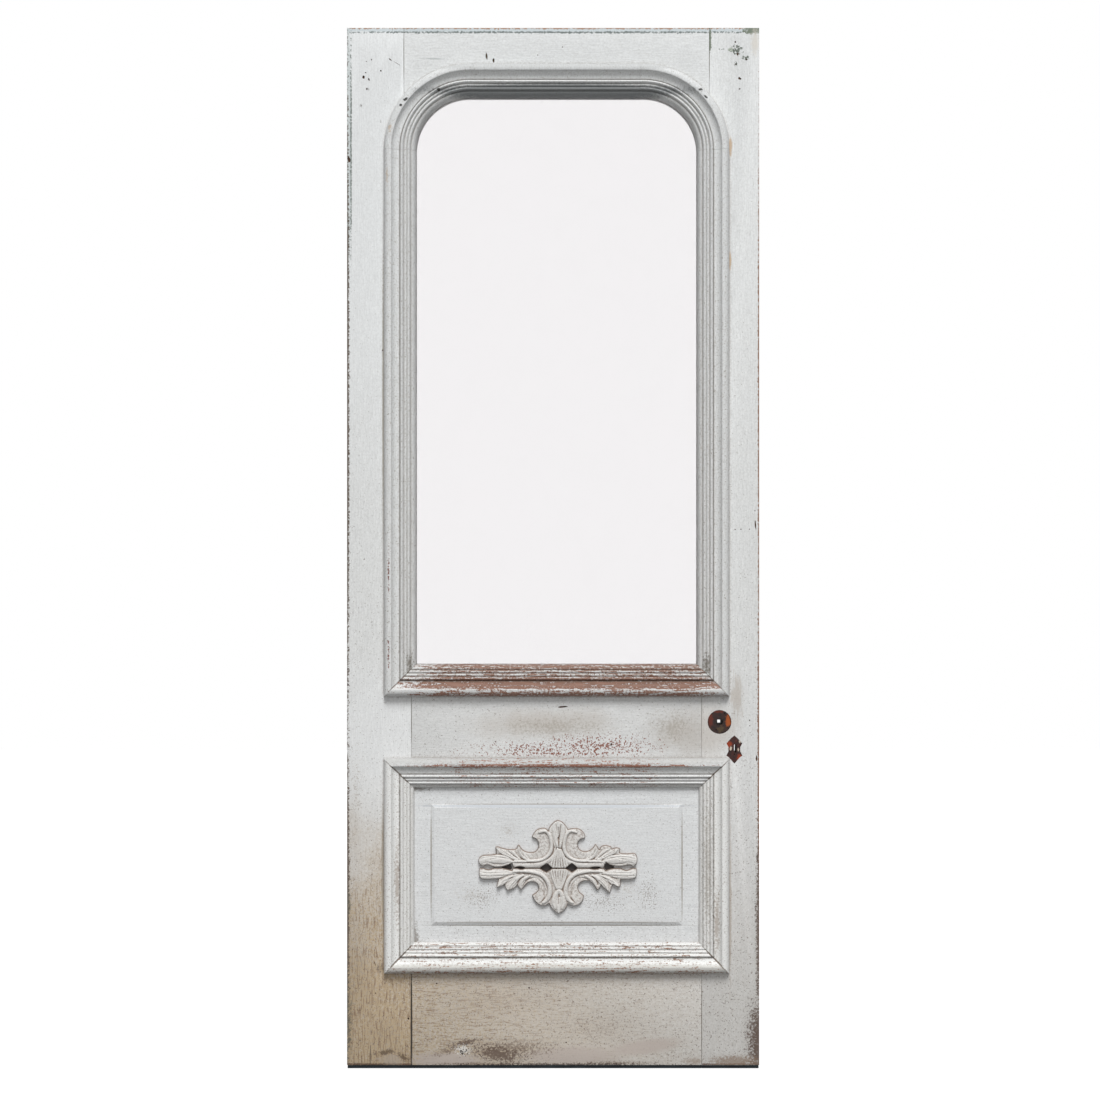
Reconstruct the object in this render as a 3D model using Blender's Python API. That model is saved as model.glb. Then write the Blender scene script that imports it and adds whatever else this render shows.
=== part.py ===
"""Panelled door leaf with a round-cornered glazed light, bolection mouldings and a carved ornament.

Metres, +Z up. The front of the door faces -Y and its hinge edge faces -X. The origin is the
middle of the middle hinge seat. Shapes are laid out in the joiner's own measures: x from the
hinge edge, z from the bottom of the door, and depth from the front face towards the back.
"""
import math

import bmesh
import bpy
from mathutils import Vector

# The leaf
DOOR_WIDTH = 0.9144
DOOR_HEIGHT = 2.3114
DOOR_THICKNESS = 0.0445

# Stiles: narrower beside the light than beside the panel, with a sloping shoulder between
HINGE_STILE_WIDTH = 0.126
LOCK_STILE_WIDTH = 0.1105
STILE_STEP = 0.017
SHOULDER_RUN = 0.040

# Rails and the panel opening, from the bottom of the door upwards
BOTTOM_RAIL_HEIGHT = 0.2755
PANEL_OPENING_HEIGHT = 0.3555
LOCK_RAIL_HEIGHT = 0.241
TOP_RAIL_HEIGHT = 0.125

# Clearance between pieces that touch, and the joints of the frame
FIT_GAP = 0.0003
TENON_LENGTH = 0.028
TENON_THICKNESS = 0.014
TENON_SHOULDER = 0.018
TENON_END_CLEARANCE = 0.002
BOTTOM_REBATE_HEIGHT = 0.010
BOTTOM_REBATE_DEPTH = 0.012

# The light's round upper corners, measured at the glass that shows
SIGHT_CORNER_RADIUS = 0.120
ARC_SEGMENTS = 10
ARC_PIECE_PAST_CORNER = 0.007
HORN_END_RISE = 0.024

# Section of the bolection moulding, from its outer edge inwards. The bends say how far along
# its width each curve is drawn.
MOULDING_LAP = 0.044
EDGE_STEP = 0.005
ROLL_WIDTH = 0.0150
ROLL_HEIGHT = 0.022
ROLL_BEND = 0.10
CREST_FLAT = 0.0025
CREST_FALL = 0.0008
COVE_WIDTH = 0.0175
COVE_FOOT_HEIGHT = 0.0095
COVE_BEND = 0.25
COVE_BEND_RISE = 0.001
BEAD_WIDTH = 0.0095
BEAD_HEIGHT = 0.0130
BEAD_FOOT_RUN = 0.0004
REED_WIDTH = 0.0072
REED_COUNT = 2
REED_SWELL = 0.0028
REED_DROP = 0.0016
QUIRK_WIDTH = 0.0025
QUIRK_DEPTH = 0.0025
QUIRK_SLOPE = 0.3
LIGHT_BAND_WIDTH = 0.0095
PANEL_BAND_WIDTH = 0.0055
BAND_BEND = 0.85
SIGHT_EDGE = 0.0025
TONGUE_CLEARANCE = 0.001

# Steps that a curve of the section takes
ROLL_STEPS = 5
COVE_STEPS = 4
BEAD_STEPS = 5
REED_STEPS = 3
BAND_STEPS = 3
BACK_BEAD_STEPS = 4

# The glass and the plain beads behind it and behind the panel
GLASS_SETBACK = 0.018
GLASS_THICKNESS = 0.005
GLASS_EDGE_CLEARANCE = 0.002
BEAD_ROUND = 0.009
BACK_BEAD_WIDTH = 0.018

# The lower panel
PANEL_SETBACK = 0.008
PANEL_MARGIN = 0.0365
PANEL_EDGE_CLEARANCE = 0.0015
FIELD_BORDER = 0.008
FIELD_RAISE = 0.004
GROOVE_DEPTH = 0.012
GROOVE_WIDTH = 0.0105
TONGUE_END_CLEARANCE = 0.002

# The carved ornament, in two halves that meet on a level joint
ORNAMENT_WIDTH = 0.353
ORNAMENT_RELIEF = 0.013
ORNAMENT_RIGHT_OF_CENTRE = 0.0025
ORNAMENT_JOINT_BELOW_CENTRE = 0.006

# Seats for three butt hinges, let into the hinge edge from the back
HINGE_LEAF_HEIGHT = 0.1143
HINGE_LEAF_WIDTH = 0.038
HINGE_SEAT_DEPTH = 0.003
TOP_HINGE_DROP = 0.1778
BOTTOM_HINGE_RISE = 0.2794

# The mortise lock
SPINDLE_HEIGHT = 0.7714
SPINDLE_BACKSET = 0.088
SPINDLE_HOLE_DIAMETER = 0.0155
SPINDLE_SQUARE = 0.008
KEYHOLE_BACKSET = 0.053
KEYHOLE_DROP = 0.059
KEYHOLE_WIDTH = 0.0054
KEYHOLE_HEIGHT = 0.0195
KEYHOLE_END_STEPS = 6
LOCK_CASE_ABOVE_SPINDLE = 0.040
LOCK_CASE_BELOW_KEYHOLE = 0.040
LOCK_CASE_PAST_SPINDLE = 0.020
LOCK_CASE_THICKNESS = 0.016
LOCK_HUB_DIAMETER = 0.0135
LOCK_HUB_STAND = 0.0015
LOCK_PLATE_WIDTH = 0.024
LOCK_PLATE_THICKNESS = 0.003
LOCK_PLATE_OVERHANG = 0.025
LOCK_FIT_CLEARANCE = 0.0005
BOLT_MOUTH_DEPTH = 0.0015
LATCH_MOUTH_HEIGHT = 0.020
DEADBOLT_MOUTH_HEIGHT = 0.030
BOLT_MOUTH_WIDTH = 0.012

# Shallow seats that the knob's rose and the keyhole plate have left in the front face. The
# plate's outline is one side of it, from its middle: (out, up).
SEAT_SINK = 0.0008
ROSE_DIAMETER = 0.053
PLATE_LEFT_OF_KEYHOLE = 0.002
PLATE_BELOW_KEYHOLE = 0.002
PLATE_OUTLINE = [(0.0, 0.031), (0.006, 0.026), (0.0175, 0.0135), (0.0130, 0.005), (0.0130, -0.004),
                 (0.0178, -0.014), (0.0115, -0.0178), (0.0, -0.031)]

# Heights and places that follow
PANEL_BOTTOM = BOTTOM_RAIL_HEIGHT
PANEL_TOP = PANEL_BOTTOM + PANEL_OPENING_HEIGHT
LIGHT_BOTTOM = PANEL_TOP + LOCK_RAIL_HEIGHT
LIGHT_TOP = DOOR_HEIGHT - TOP_RAIL_HEIGHT
LIGHT_LEFT = HINGE_STILE_WIDTH
LIGHT_RIGHT = DOOR_WIDTH - LOCK_STILE_WIDTH
PANEL_LEFT = LIGHT_LEFT + STILE_STEP
PANEL_RIGHT = LIGHT_RIGHT - STILE_STEP
SHOULDER_BOTTOM = LIGHT_BOTTOM - SHOULDER_RUN

FACE_WIDTH = (ROLL_WIDTH + CREST_FLAT + COVE_WIDTH + BEAD_WIDTH
              + REED_COUNT * REED_WIDTH + QUIRK_WIDTH)
LIGHT_MOULDING_WIDTH = FACE_WIDTH + LIGHT_BAND_WIDTH
PANEL_MOULDING_WIDTH = FACE_WIDTH + PANEL_BAND_WIDTH
PANEL_LAP = MOULDING_LAP + STILE_STEP
SIGHT_INSET = LIGHT_MOULDING_WIDTH - MOULDING_LAP
PANEL_SIGHT_INSET = PANEL_MOULDING_WIDTH - PANEL_LAP
OPENING_RADIUS = SIGHT_CORNER_RADIUS + SIGHT_INSET
MOULDING_RADIUS = OPENING_RADIUS + MOULDING_LAP
SPRING_HEIGHT = LIGHT_TOP - OPENING_RADIUS
LEFT_CORNER_X = LIGHT_LEFT + OPENING_RADIUS
RIGHT_CORNER_X = LIGHT_RIGHT - OPENING_RADIUS

TOP_HINGE_BOTTOM = DOOR_HEIGHT - TOP_HINGE_DROP - HINGE_LEAF_HEIGHT
MIDDLE_HINGE_BOTTOM = (TOP_HINGE_BOTTOM + BOTTOM_HINGE_RISE) / 2
ORIGIN_X = HINGE_SEAT_DEPTH
ORIGIN_DEPTH = DOOR_THICKNESS - HINGE_LEAF_WIDTH / 2
ORIGIN_HEIGHT = MIDDLE_HINGE_BOTTOM + HINGE_LEAF_HEIGHT / 2

MIDDLE_DEPTH = DOOR_THICKNESS / 2
SPINDLE_X = DOOR_WIDTH - SPINDLE_BACKSET
KEYHOLE_X = DOOR_WIDTH - KEYHOLE_BACKSET
KEYHOLE_Z = SPINDLE_HEIGHT - KEYHOLE_DROP
LOCK_CASE_BOTTOM = KEYHOLE_Z - LOCK_CASE_BELOW_KEYHOLE
LOCK_CASE_TOP = SPINDLE_HEIGHT + LOCK_CASE_ABOVE_SPINDLE
LOCK_CASE_LEFT = SPINDLE_X - LOCK_CASE_PAST_SPINDLE

# Room that a cutter takes past the surface it cuts, and the sides of a round hole
PAST = 0.004
ROUND_SIDES = 24


def clear_scene():
    """Start from an empty file."""
    for old in list(bpy.data.objects):
        bpy.data.objects.remove(old)


def place(x, depth, z):
    """A point given in the joiner's measures, in the part's own frame."""
    return Vector((x - ORIGIN_X, depth - ORIGIN_DEPTH, z - ORIGIN_HEIGHT))


def finish_material(name, colour, roughness, metallic=0.0, alpha=1.0):
    """A plain finish for one kind of piece."""
    material = bpy.data.materials.new(name)
    material.use_nodes = True
    shader = material.node_tree.nodes["Principled BSDF"]
    shader.inputs["Base Color"].default_value = (*colour, 1.0)
    shader.inputs["Roughness"].default_value = roughness
    shader.inputs["Metallic"].default_value = metallic
    shader.inputs["Alpha"].default_value = alpha
    material.diffuse_color = (*colour, alpha)
    return material


def add_object(name, mesh_data, material):
    """Make one named piece from a bmesh."""
    bmesh.ops.recalc_face_normals(mesh_data, faces=mesh_data.faces)
    mesh = bpy.data.meshes.new(name)
    mesh_data.to_mesh(mesh)
    mesh_data.free()
    piece = bpy.data.objects.new(name, mesh)
    bpy.context.scene.collection.objects.link(piece)
    if material is not None:
        mesh.materials.append(material)
    return piece


def loft(rings):
    """A closed body through rings of points that have equal counts, capped at both ends."""
    body = bmesh.new()
    loops = [[body.verts.new(point) for point in ring] for ring in rings]
    count = len(loops[0])
    for near, far in zip(loops, loops[1:]):
        for i in range(count):
            j = (i + 1) % count
            body.faces.new((near[i], near[j], far[j], far[i]))
    caps = [body.faces.new(loops[0]), body.faces.new(list(reversed(loops[-1])))]
    bmesh.ops.triangulate(body, faces=caps)
    return body


def prism(outline, front, back):
    """A plate with the given (x, z) outline between two depths."""
    return loft([[place(x, depth, z) for x, z in outline] for depth in (front, back)])


def rectangle(left, right, bottom, top):
    """The corners of an upright rectangle, as (x, z)."""
    return [(left, bottom), (right, bottom), (right, top), (left, top)]


def box(left, right, front, back, bottom, top):
    """A plain block, mostly to cut with."""
    return prism(rectangle(left, right, bottom, top), front, back)


def round_bar(x, z, radius, front, back):
    """A round bar along the door's thickness."""
    return prism(arc(x, z, radius, 0, 360, ROUND_SIDES)[1:], front, back)


def modify(piece, operation, tool_mesh, label):
    """Cut a tool's shape from a piece, or add it, with a live Boolean."""
    tool = add_object(f"{piece.name}_{label}", tool_mesh, None)
    tool.hide_render = True
    tool.display_type = 'WIRE'
    change = piece.modifiers.new(label, 'BOOLEAN')
    change.operation = operation
    change.solver = 'EXACT'
    change.object = tool


def arc(centre_x, centre_z, radius, start, end, segments=ARC_SEGMENTS):
    """Points along an arc between two angles in degrees."""
    points = []
    for i in range(segments + 1):
        angle = math.radians(start + (end - start) * i / segments)
        points.append((centre_x + radius * math.cos(angle), centre_z + radius * math.sin(angle)))
    return points


# The frame of the door: two stiles and three rails

def tenon_spans(bottom, top, keep_clear=None):
    """Heights of a rail's tenons: what its shoulders and a space kept clear leave of its end."""
    low = bottom + TENON_SHOULDER
    high = top - TENON_SHOULDER
    if keep_clear is None:
        return [(low, high)]
    clear_low, clear_high = keep_clear
    spans = [(low, min(high, clear_low)), (max(low, clear_high), high)]
    return [(foot, head) for foot, head in spans if head - foot > TENON_THICKNESS]


LOCK_CLEAR = (LOCK_CASE_BOTTOM - TENON_SHOULDER / 2, LOCK_CASE_TOP + TENON_SHOULDER / 2)
RAIL_TENONS = {
    "top": (tenon_spans(LIGHT_TOP, DOOR_HEIGHT), LIGHT_LEFT, LIGHT_RIGHT),
    "lock": (tenon_spans(PANEL_TOP, LIGHT_BOTTOM, LOCK_CLEAR), PANEL_LEFT, PANEL_RIGHT),
    "bottom": (tenon_spans(0.0, PANEL_BOTTOM), PANEL_LEFT, PANEL_RIGHT),
}


def cut_mortises(stile, side):
    """Sink the mortises for all three rails in one stile. side is 0 for the left, 1 for the right."""
    half = TENON_THICKNESS / 2 + FIT_GAP
    for rail, (spans, left, right) in RAIL_TENONS.items():
        for number, (low, high) in enumerate(spans):
            if side == 0:
                reach = (left - TENON_LENGTH - TENON_END_CLEARANCE, left + PAST)
            else:
                reach = (right - PAST, right + TENON_LENGTH + TENON_END_CLEARANCE)
            tool = box(*reach, MIDDLE_DEPTH - half, MIDDLE_DEPTH + half, low - FIT_GAP, high + FIT_GAP)
            modify(stile, 'DIFFERENCE', tool, f"{rail}_mortise_{number}")


def cut_stile_groove(stile, side):
    """The groove that holds the panel's tongue in one stile."""
    half = GROOVE_WIDTH / 2
    if side == 0:
        reach = (PANEL_LEFT - GROOVE_DEPTH, PANEL_LEFT + PAST)
    else:
        reach = (PANEL_RIGHT - PAST, PANEL_RIGHT + GROOVE_DEPTH)
    tool = box(*reach, MIDDLE_DEPTH - half, MIDDLE_DEPTH + half,
               PANEL_BOTTOM - GROOVE_DEPTH, PANEL_TOP + GROOVE_DEPTH)
    modify(stile, 'DIFFERENCE', tool, "panel_groove")


def cut_bottom_rebate(piece):
    """The weathered rebate along the foot of the front face."""
    tool = box(-PAST, DOOR_WIDTH + PAST, -PAST, BOTTOM_REBATE_DEPTH, -PAST, BOTTOM_REBATE_HEIGHT)
    modify(piece, 'DIFFERENCE', tool, "bottom_rebate")


def hinge_stile(paint):
    outline = [(0.0, 0.0), (PANEL_LEFT, 0.0), (PANEL_LEFT, SHOULDER_BOTTOM), (LIGHT_LEFT, LIGHT_BOTTOM),
               (LIGHT_LEFT, DOOR_HEIGHT), (0.0, DOOR_HEIGHT)]
    stile = add_object("hinge_stile", prism(outline, 0.0, DOOR_THICKNESS), paint)
    cut_mortises(stile, 0)
    cut_stile_groove(stile, 0)
    cut_bottom_rebate(stile)
    for name, foot in (("bottom", BOTTOM_HINGE_RISE), ("middle", MIDDLE_HINGE_BOTTOM),
                       ("top", TOP_HINGE_BOTTOM)):
        tool = box(-PAST, HINGE_SEAT_DEPTH, DOOR_THICKNESS - HINGE_LEAF_WIDTH, DOOR_THICKNESS + PAST,
                   foot, foot + HINGE_LEAF_HEIGHT)
        modify(stile, 'DIFFERENCE', tool, f"{name}_hinge_seat")
    return stile


def keyhole_outline():
    """The upright keyhole slot with round ends, as (x, z)."""
    radius = KEYHOLE_WIDTH / 2
    rise = KEYHOLE_HEIGHT / 2 - radius
    over = arc(KEYHOLE_X, KEYHOLE_Z + rise, radius, 0, 180, KEYHOLE_END_STEPS)
    under = arc(KEYHOLE_X, KEYHOLE_Z - rise, radius, 180, 360, KEYHOLE_END_STEPS)
    return over + under


def plate_outline():
    """The keyhole plate's whole outline, as (x, z)."""
    middle = KEYHOLE_X - PLATE_LEFT_OF_KEYHOLE
    height = KEYHOLE_Z - PLATE_BELOW_KEYHOLE
    right_side = [(middle + out, height + up) for out, up in PLATE_OUTLINE]
    left_side = [(middle - out, height + up) for out, up in reversed(PLATE_OUTLINE[1:-1])]
    return right_side + left_side


def lock_stile(paint):
    outline = [(DOOR_WIDTH, 0.0), (DOOR_WIDTH, DOOR_HEIGHT), (LIGHT_RIGHT, DOOR_HEIGHT),
               (LIGHT_RIGHT, LIGHT_BOTTOM), (PANEL_RIGHT, SHOULDER_BOTTOM), (PANEL_RIGHT, 0.0)]
    stile = add_object("lock_stile", prism(outline, 0.0, DOOR_THICKNESS), paint)
    cut_mortises(stile, 1)
    cut_stile_groove(stile, 1)
    cut_bottom_rebate(stile)
    fit = LOCK_FIT_CLEARANCE
    half = LOCK_CASE_THICKNESS / 2 + LOCK_HUB_STAND + fit
    pocket = box(LOCK_CASE_LEFT - fit, DOOR_WIDTH + PAST, MIDDLE_DEPTH - half, MIDDLE_DEPTH + half,
                 LOCK_CASE_BOTTOM - fit, LOCK_CASE_TOP + fit)
    modify(stile, 'DIFFERENCE', pocket, "lock_pocket")
    half = LOCK_PLATE_WIDTH / 2 + fit
    plate = box(DOOR_WIDTH - LOCK_PLATE_THICKNESS - fit, DOOR_WIDTH + PAST,
                MIDDLE_DEPTH - half, MIDDLE_DEPTH + half,
                LOCK_CASE_BOTTOM - LOCK_PLATE_OVERHANG - fit, LOCK_CASE_TOP + LOCK_PLATE_OVERHANG + fit)
    modify(stile, 'DIFFERENCE', plate, "lock_plate_seat")
    hole = round_bar(SPINDLE_X, SPINDLE_HEIGHT, SPINDLE_HOLE_DIAMETER / 2, -PAST, DOOR_THICKNESS + PAST)
    modify(stile, 'DIFFERENCE', hole, "spindle_hole")
    slot = prism(keyhole_outline(), -PAST, DOOR_THICKNESS + PAST)
    modify(stile, 'DIFFERENCE', slot, "keyhole")
    rose = round_bar(SPINDLE_X, SPINDLE_HEIGHT, ROSE_DIAMETER / 2, -PAST, SEAT_SINK)
    modify(stile, 'DIFFERENCE', rose, "rose_seat")
    modify(stile, 'DIFFERENCE', prism(plate_outline(), -PAST, SEAT_SINK), "keyhole_plate_seat")
    return stile


def add_tenons(rail, name):
    """Put the tenons on both ends of a rail."""
    half = TENON_THICKNESS / 2
    spans, left, right = RAIL_TENONS[name]
    for number, (low, high) in enumerate(spans):
        for side, reach in (("left", (left - TENON_LENGTH, left + PAST)),
                            ("right", (right - PAST, right + TENON_LENGTH))):
            tool = box(*reach, MIDDLE_DEPTH - half, MIDDLE_DEPTH + half, low, high)
            modify(rail, 'UNION', tool, f"{side}_tenon_{number}")


def cut_rail_groove(rail, bottom, top):
    """The groove along a rail for the panel's tongue."""
    half = GROOVE_WIDTH / 2
    tool = box(PANEL_LEFT - PAST, PANEL_RIGHT + PAST, MIDDLE_DEPTH - half, MIDDLE_DEPTH + half, bottom, top)
    modify(rail, 'DIFFERENCE', tool, "panel_groove")


def top_rail(paint):
    """The top rail, with horns that run down beside the light's round corners."""
    left = LIGHT_LEFT + FIT_GAP
    right = LIGHT_RIGHT - FIT_GAP
    rise = math.degrees(math.asin(HORN_END_RISE / OPENING_RADIUS))
    horn_end = SPRING_HEIGHT + HORN_END_RISE
    outline = [(left, DOOR_HEIGHT), (left, horn_end)]
    outline += arc(LEFT_CORNER_X, SPRING_HEIGHT, OPENING_RADIUS, 180 - rise, 90)
    outline += arc(RIGHT_CORNER_X, SPRING_HEIGHT, OPENING_RADIUS, 90, rise)
    outline += [(right, horn_end), (right, DOOR_HEIGHT)]
    rail = add_object("top_rail", prism(outline, 0.0, DOOR_THICKNESS), paint)
    add_tenons(rail, "top")
    return rail


def lock_rail(paint):
    """The rail between light and panel, with the stiles' sloping shoulders at its ends."""
    outline = [(PANEL_LEFT + FIT_GAP, PANEL_TOP), (PANEL_RIGHT - FIT_GAP, PANEL_TOP),
               (PANEL_RIGHT - FIT_GAP, SHOULDER_BOTTOM), (LIGHT_RIGHT - FIT_GAP, LIGHT_BOTTOM),
               (LIGHT_LEFT + FIT_GAP, LIGHT_BOTTOM), (PANEL_LEFT + FIT_GAP, SHOULDER_BOTTOM)]
    rail = add_object("lock_rail", prism(outline, 0.0, DOOR_THICKNESS), paint)
    cut_rail_groove(rail, PANEL_TOP - PAST, PANEL_TOP + GROOVE_DEPTH)
    add_tenons(rail, "lock")
    return rail


def bottom_rail(paint):
    outline = rectangle(PANEL_LEFT + FIT_GAP, PANEL_RIGHT - FIT_GAP, 0.0, PANEL_BOTTOM)
    rail = add_object("bottom_rail", prism(outline, 0.0, DOOR_THICKNESS), paint)
    cut_rail_groove(rail, PANEL_BOTTOM - GROOVE_DEPTH, PANEL_BOTTOM + PAST)
    add_tenons(rail, "bottom")
    cut_bottom_rebate(rail)
    return rail


# Mouldings: a section swept along straight runs and round corners

def curve_points(start, bend, end, steps):
    """Points of a curve that leaves start and reaches end, drawn towards bend."""
    points = []
    for i in range(1, steps + 1):
        t = i / steps
        points.append(tuple((1 - t) ** 2 * a + 2 * t * (1 - t) * b + t ** 2 * c
                            for a, b, c in zip(start, bend, end)))
    return points


def swelling(start, width, drop, swell, steps):
    """A small rounded reed or bead across a width, ending lower than it starts by drop."""
    points = []
    for i in range(1, steps + 1):
        t = i / steps
        points.append((start[0] + width * t, start[1] - drop * t + swell * math.sin(math.pi * t)))
    return points


def front_section(band_width, lap, seat_depth):
    """The bolection moulding's section: (distance in from its outer edge, height above the face)."""
    edge = (0.0, EDGE_STEP)
    crest = (ROLL_WIDTH, ROLL_HEIGHT)
    points = [(0.0, FIT_GAP), edge]
    points += curve_points(edge, (ROLL_WIDTH * ROLL_BEND, ROLL_HEIGHT), crest, ROLL_STEPS)
    start = (ROLL_WIDTH + CREST_FLAT, ROLL_HEIGHT - CREST_FALL)
    points.append(start)
    foot = (start[0] + COVE_WIDTH, COVE_FOOT_HEIGHT)
    bend = (start[0] + COVE_WIDTH * COVE_BEND, COVE_FOOT_HEIGHT + COVE_BEND_RISE)
    points += curve_points(start, bend, foot, COVE_STEPS)
    here = (foot[0] + BEAD_FOOT_RUN, COVE_FOOT_HEIGHT - QUIRK_DEPTH)
    points.append(here)
    points += swelling(here, BEAD_WIDTH - BEAD_FOOT_RUN, 0.0, BEAD_HEIGHT - here[1], BEAD_STEPS)
    for _ in range(REED_COUNT):
        points += swelling(points[-1], REED_WIDTH, REED_DROP, REED_SWELL, REED_STEPS)
    here = points[-1]
    points.append((here[0] + QUIRK_WIDTH * QUIRK_SLOPE, here[1] - QUIRK_DEPTH))
    points.append((here[0] + QUIRK_WIDTH, here[1] - QUIRK_DEPTH))
    start = (here[0] + QUIRK_WIDTH, here[1] - QUIRK_DEPTH * QUIRK_SLOPE)
    points.append(start)
    inner = start[0] + band_width
    bend = (start[0] + band_width * BAND_BEND, start[1] - QUIRK_DEPTH)
    points += curve_points(start, bend, (inner, SIGHT_EDGE - seat_depth), BAND_STEPS)
    seat = -seat_depth + FIT_GAP
    tongue = lap + TONGUE_CLEARANCE
    points += [(inner, seat), (tongue, seat), (tongue, FIT_GAP)]
    return points


def back_section(lap, width, front_depth, round_size):
    """A plain bead at the back: square where it seats, rounded towards the glass or panel."""
    outer = lap + TONGUE_CLEARANCE
    inner = lap + width
    near = -front_depth - FIT_GAP
    far = -DOOR_THICKNESS
    points = [(outer, near), (inner, near), (inner, far + round_size)]
    points += curve_points(points[-1], (inner, far), (inner - round_size, far), BACK_BEAD_STEPS)
    points.append((outer, far))
    return points


def moulding_run(name, section, stations, paint):
    """Sweep a section through stations: (x, z) of the outer edge and its inward direction."""
    rings = []
    for (x, z), (across, up) in stations:
        rings.append([place(x + inward * across, -height, z + inward * up) for inward, height in section])
    return add_object(name, loft(rings), paint)


def arc_stations(centre_x, start, end):
    """Stations round one of the light's corners, between two angles in degrees."""
    stations = []
    for i in range(ARC_SEGMENTS + 1):
        angle = math.radians(start + (end - start) * i / ARC_SEGMENTS)
        across = math.cos(angle)
        up = math.sin(angle)
        outer = (centre_x + MOULDING_RADIUS * across, SPRING_HEIGHT + MOULDING_RADIUS * up)
        stations.append((outer, (-across, -up)))
    return stations


def light_moulding(prefix, section, paint):
    """Six runs round the light: two legs, a sill, two round corners and a head."""
    left = LIGHT_LEFT - MOULDING_LAP
    right = LIGHT_RIGHT + MOULDING_LAP
    sill = LIGHT_BOTTOM - MOULDING_LAP
    head = LIGHT_TOP + MOULDING_LAP
    mitre = FIT_GAP * math.sqrt(2) / 2
    joint = FIT_GAP / 2
    leg_top = SPRING_HEIGHT - joint
    moulding_run(f"{prefix}_left", section,
                 [((left, sill + mitre), (1, 1)), ((left, leg_top), (1, 0))], paint)
    moulding_run(f"{prefix}_right", section,
                 [((right, sill + mitre), (-1, 1)), ((right, leg_top), (-1, 0))], paint)
    moulding_run(f"{prefix}_sill", section,
                 [((left + mitre, sill), (1, 1)), ((right - mitre, sill), (-1, 1))], paint)
    left_end = LEFT_CORNER_X + ARC_PIECE_PAST_CORNER
    right_end = RIGHT_CORNER_X - ARC_PIECE_PAST_CORNER
    lift = [((left, SPRING_HEIGHT + joint), (1, 0))]
    turn = arc_stations(LEFT_CORNER_X, 180, 90)[1:]
    moulding_run(f"{prefix}_arc_left", section, lift + turn + [((left_end - joint, head), (0, -1))], paint)
    lift = [((right, SPRING_HEIGHT + joint), (-1, 0))]
    turn = arc_stations(RIGHT_CORNER_X, 0, 90)[1:]
    moulding_run(f"{prefix}_arc_right", section, lift + turn + [((right_end + joint, head), (0, -1))], paint)
    moulding_run(f"{prefix}_head", section,
                 [((left_end + joint, head), (0, -1)), ((right_end - joint, head), (0, -1))], paint)


def panel_moulding(prefix, section, lap, paint):
    """Four mitred runs round the panel."""
    left = PANEL_LEFT - lap
    right = PANEL_RIGHT + lap
    bottom = PANEL_BOTTOM - lap
    top = PANEL_TOP + lap
    mitre = FIT_GAP * math.sqrt(2) / 2
    moulding_run(f"{prefix}_left", section,
                 [((left, bottom + mitre), (1, 1)), ((left, top - mitre), (1, -1))], paint)
    moulding_run(f"{prefix}_right", section,
                 [((right, bottom + mitre), (-1, 1)), ((right, top - mitre), (-1, -1))], paint)
    moulding_run(f"{prefix}_bottom", section,
                 [((left + mitre, bottom), (1, 1)), ((right - mitre, bottom), (-1, 1))], paint)
    moulding_run(f"{prefix}_top", section,
                 [((left + mitre, top), (1, -1)), ((right - mitre, top), (-1, -1))], paint)


# Glass and panel

def glass_pane(glass):
    inset = GLASS_EDGE_CLEARANCE
    radius = OPENING_RADIUS - inset
    outline = [(LIGHT_LEFT + inset, LIGHT_BOTTOM + inset), (LIGHT_RIGHT - inset, LIGHT_BOTTOM + inset)]
    outline += arc(RIGHT_CORNER_X, SPRING_HEIGHT, radius, 0, 90)
    outline += arc(LEFT_CORNER_X, SPRING_HEIGHT, radius, 90, 180)
    return add_object("glass_pane", prism(outline, GLASS_SETBACK, GLASS_SETBACK + GLASS_THICKNESS), glass)


def lower_panel(paint):
    """A panel with a raised field on both faces and a tongue in the frame's grooves."""
    body = -PANEL_EDGE_CLEARANCE
    tongue = GROOVE_DEPTH - TONGUE_END_CLEARANCE
    field = -(PANEL_SIGHT_INSET + PANEL_MARGIN)
    back = DOOR_THICKNESS - PANEL_SETBACK
    tongue_front = MIDDLE_DEPTH - GROOVE_WIDTH / 2 + FIT_GAP
    tongue_back = MIDDLE_DEPTH + GROOVE_WIDTH / 2 - FIT_GAP
    steps = [(field - FIELD_BORDER, PANEL_SETBACK - FIELD_RAISE), (field, PANEL_SETBACK),
             (body, PANEL_SETBACK), (body, tongue_front), (tongue, tongue_front), (tongue, tongue_back),
             (body, tongue_back), (body, back), (field, back), (field - FIELD_BORDER, back + FIELD_RAISE)]
    rings = []
    for out, depth in steps:
        outline = rectangle(PANEL_LEFT - out, PANEL_RIGHT + out, PANEL_BOTTOM - out, PANEL_TOP + out)
        rings.append([place(x, depth, z) for x, z in outline])
    return add_object("lower_panel", loft(rings), paint)


# The carved ornament. Its strokes are drawn on a template 353 units wide, from the middle of
# the joint between its halves: u to the right, v upwards. Each has its widths along the way
# and the share of the full relief that its crest reaches. A stroke's side stands up to
# TEMPLATE_SIDE of the relief. Strokes wider than RIDGE_WIDTH have a shoulder, set out and up
# by the two shares. SINK and SINK_STEP keep the strokes' backs in planes of their own until
# the back is cut flat.

TEMPLATE_WIDTH = 353.0
TEMPLATE_SIDE = 0.38
RIDGE_WIDTH = 12
SHOULDER_OUT = 0.60
SHOULDER_UP = 0.72
SHORT_STROKE_POINTS = 4
DIRECTION_STEP = 0.02
SINK = 0.002
SINK_STEP = 0.00002

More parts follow.
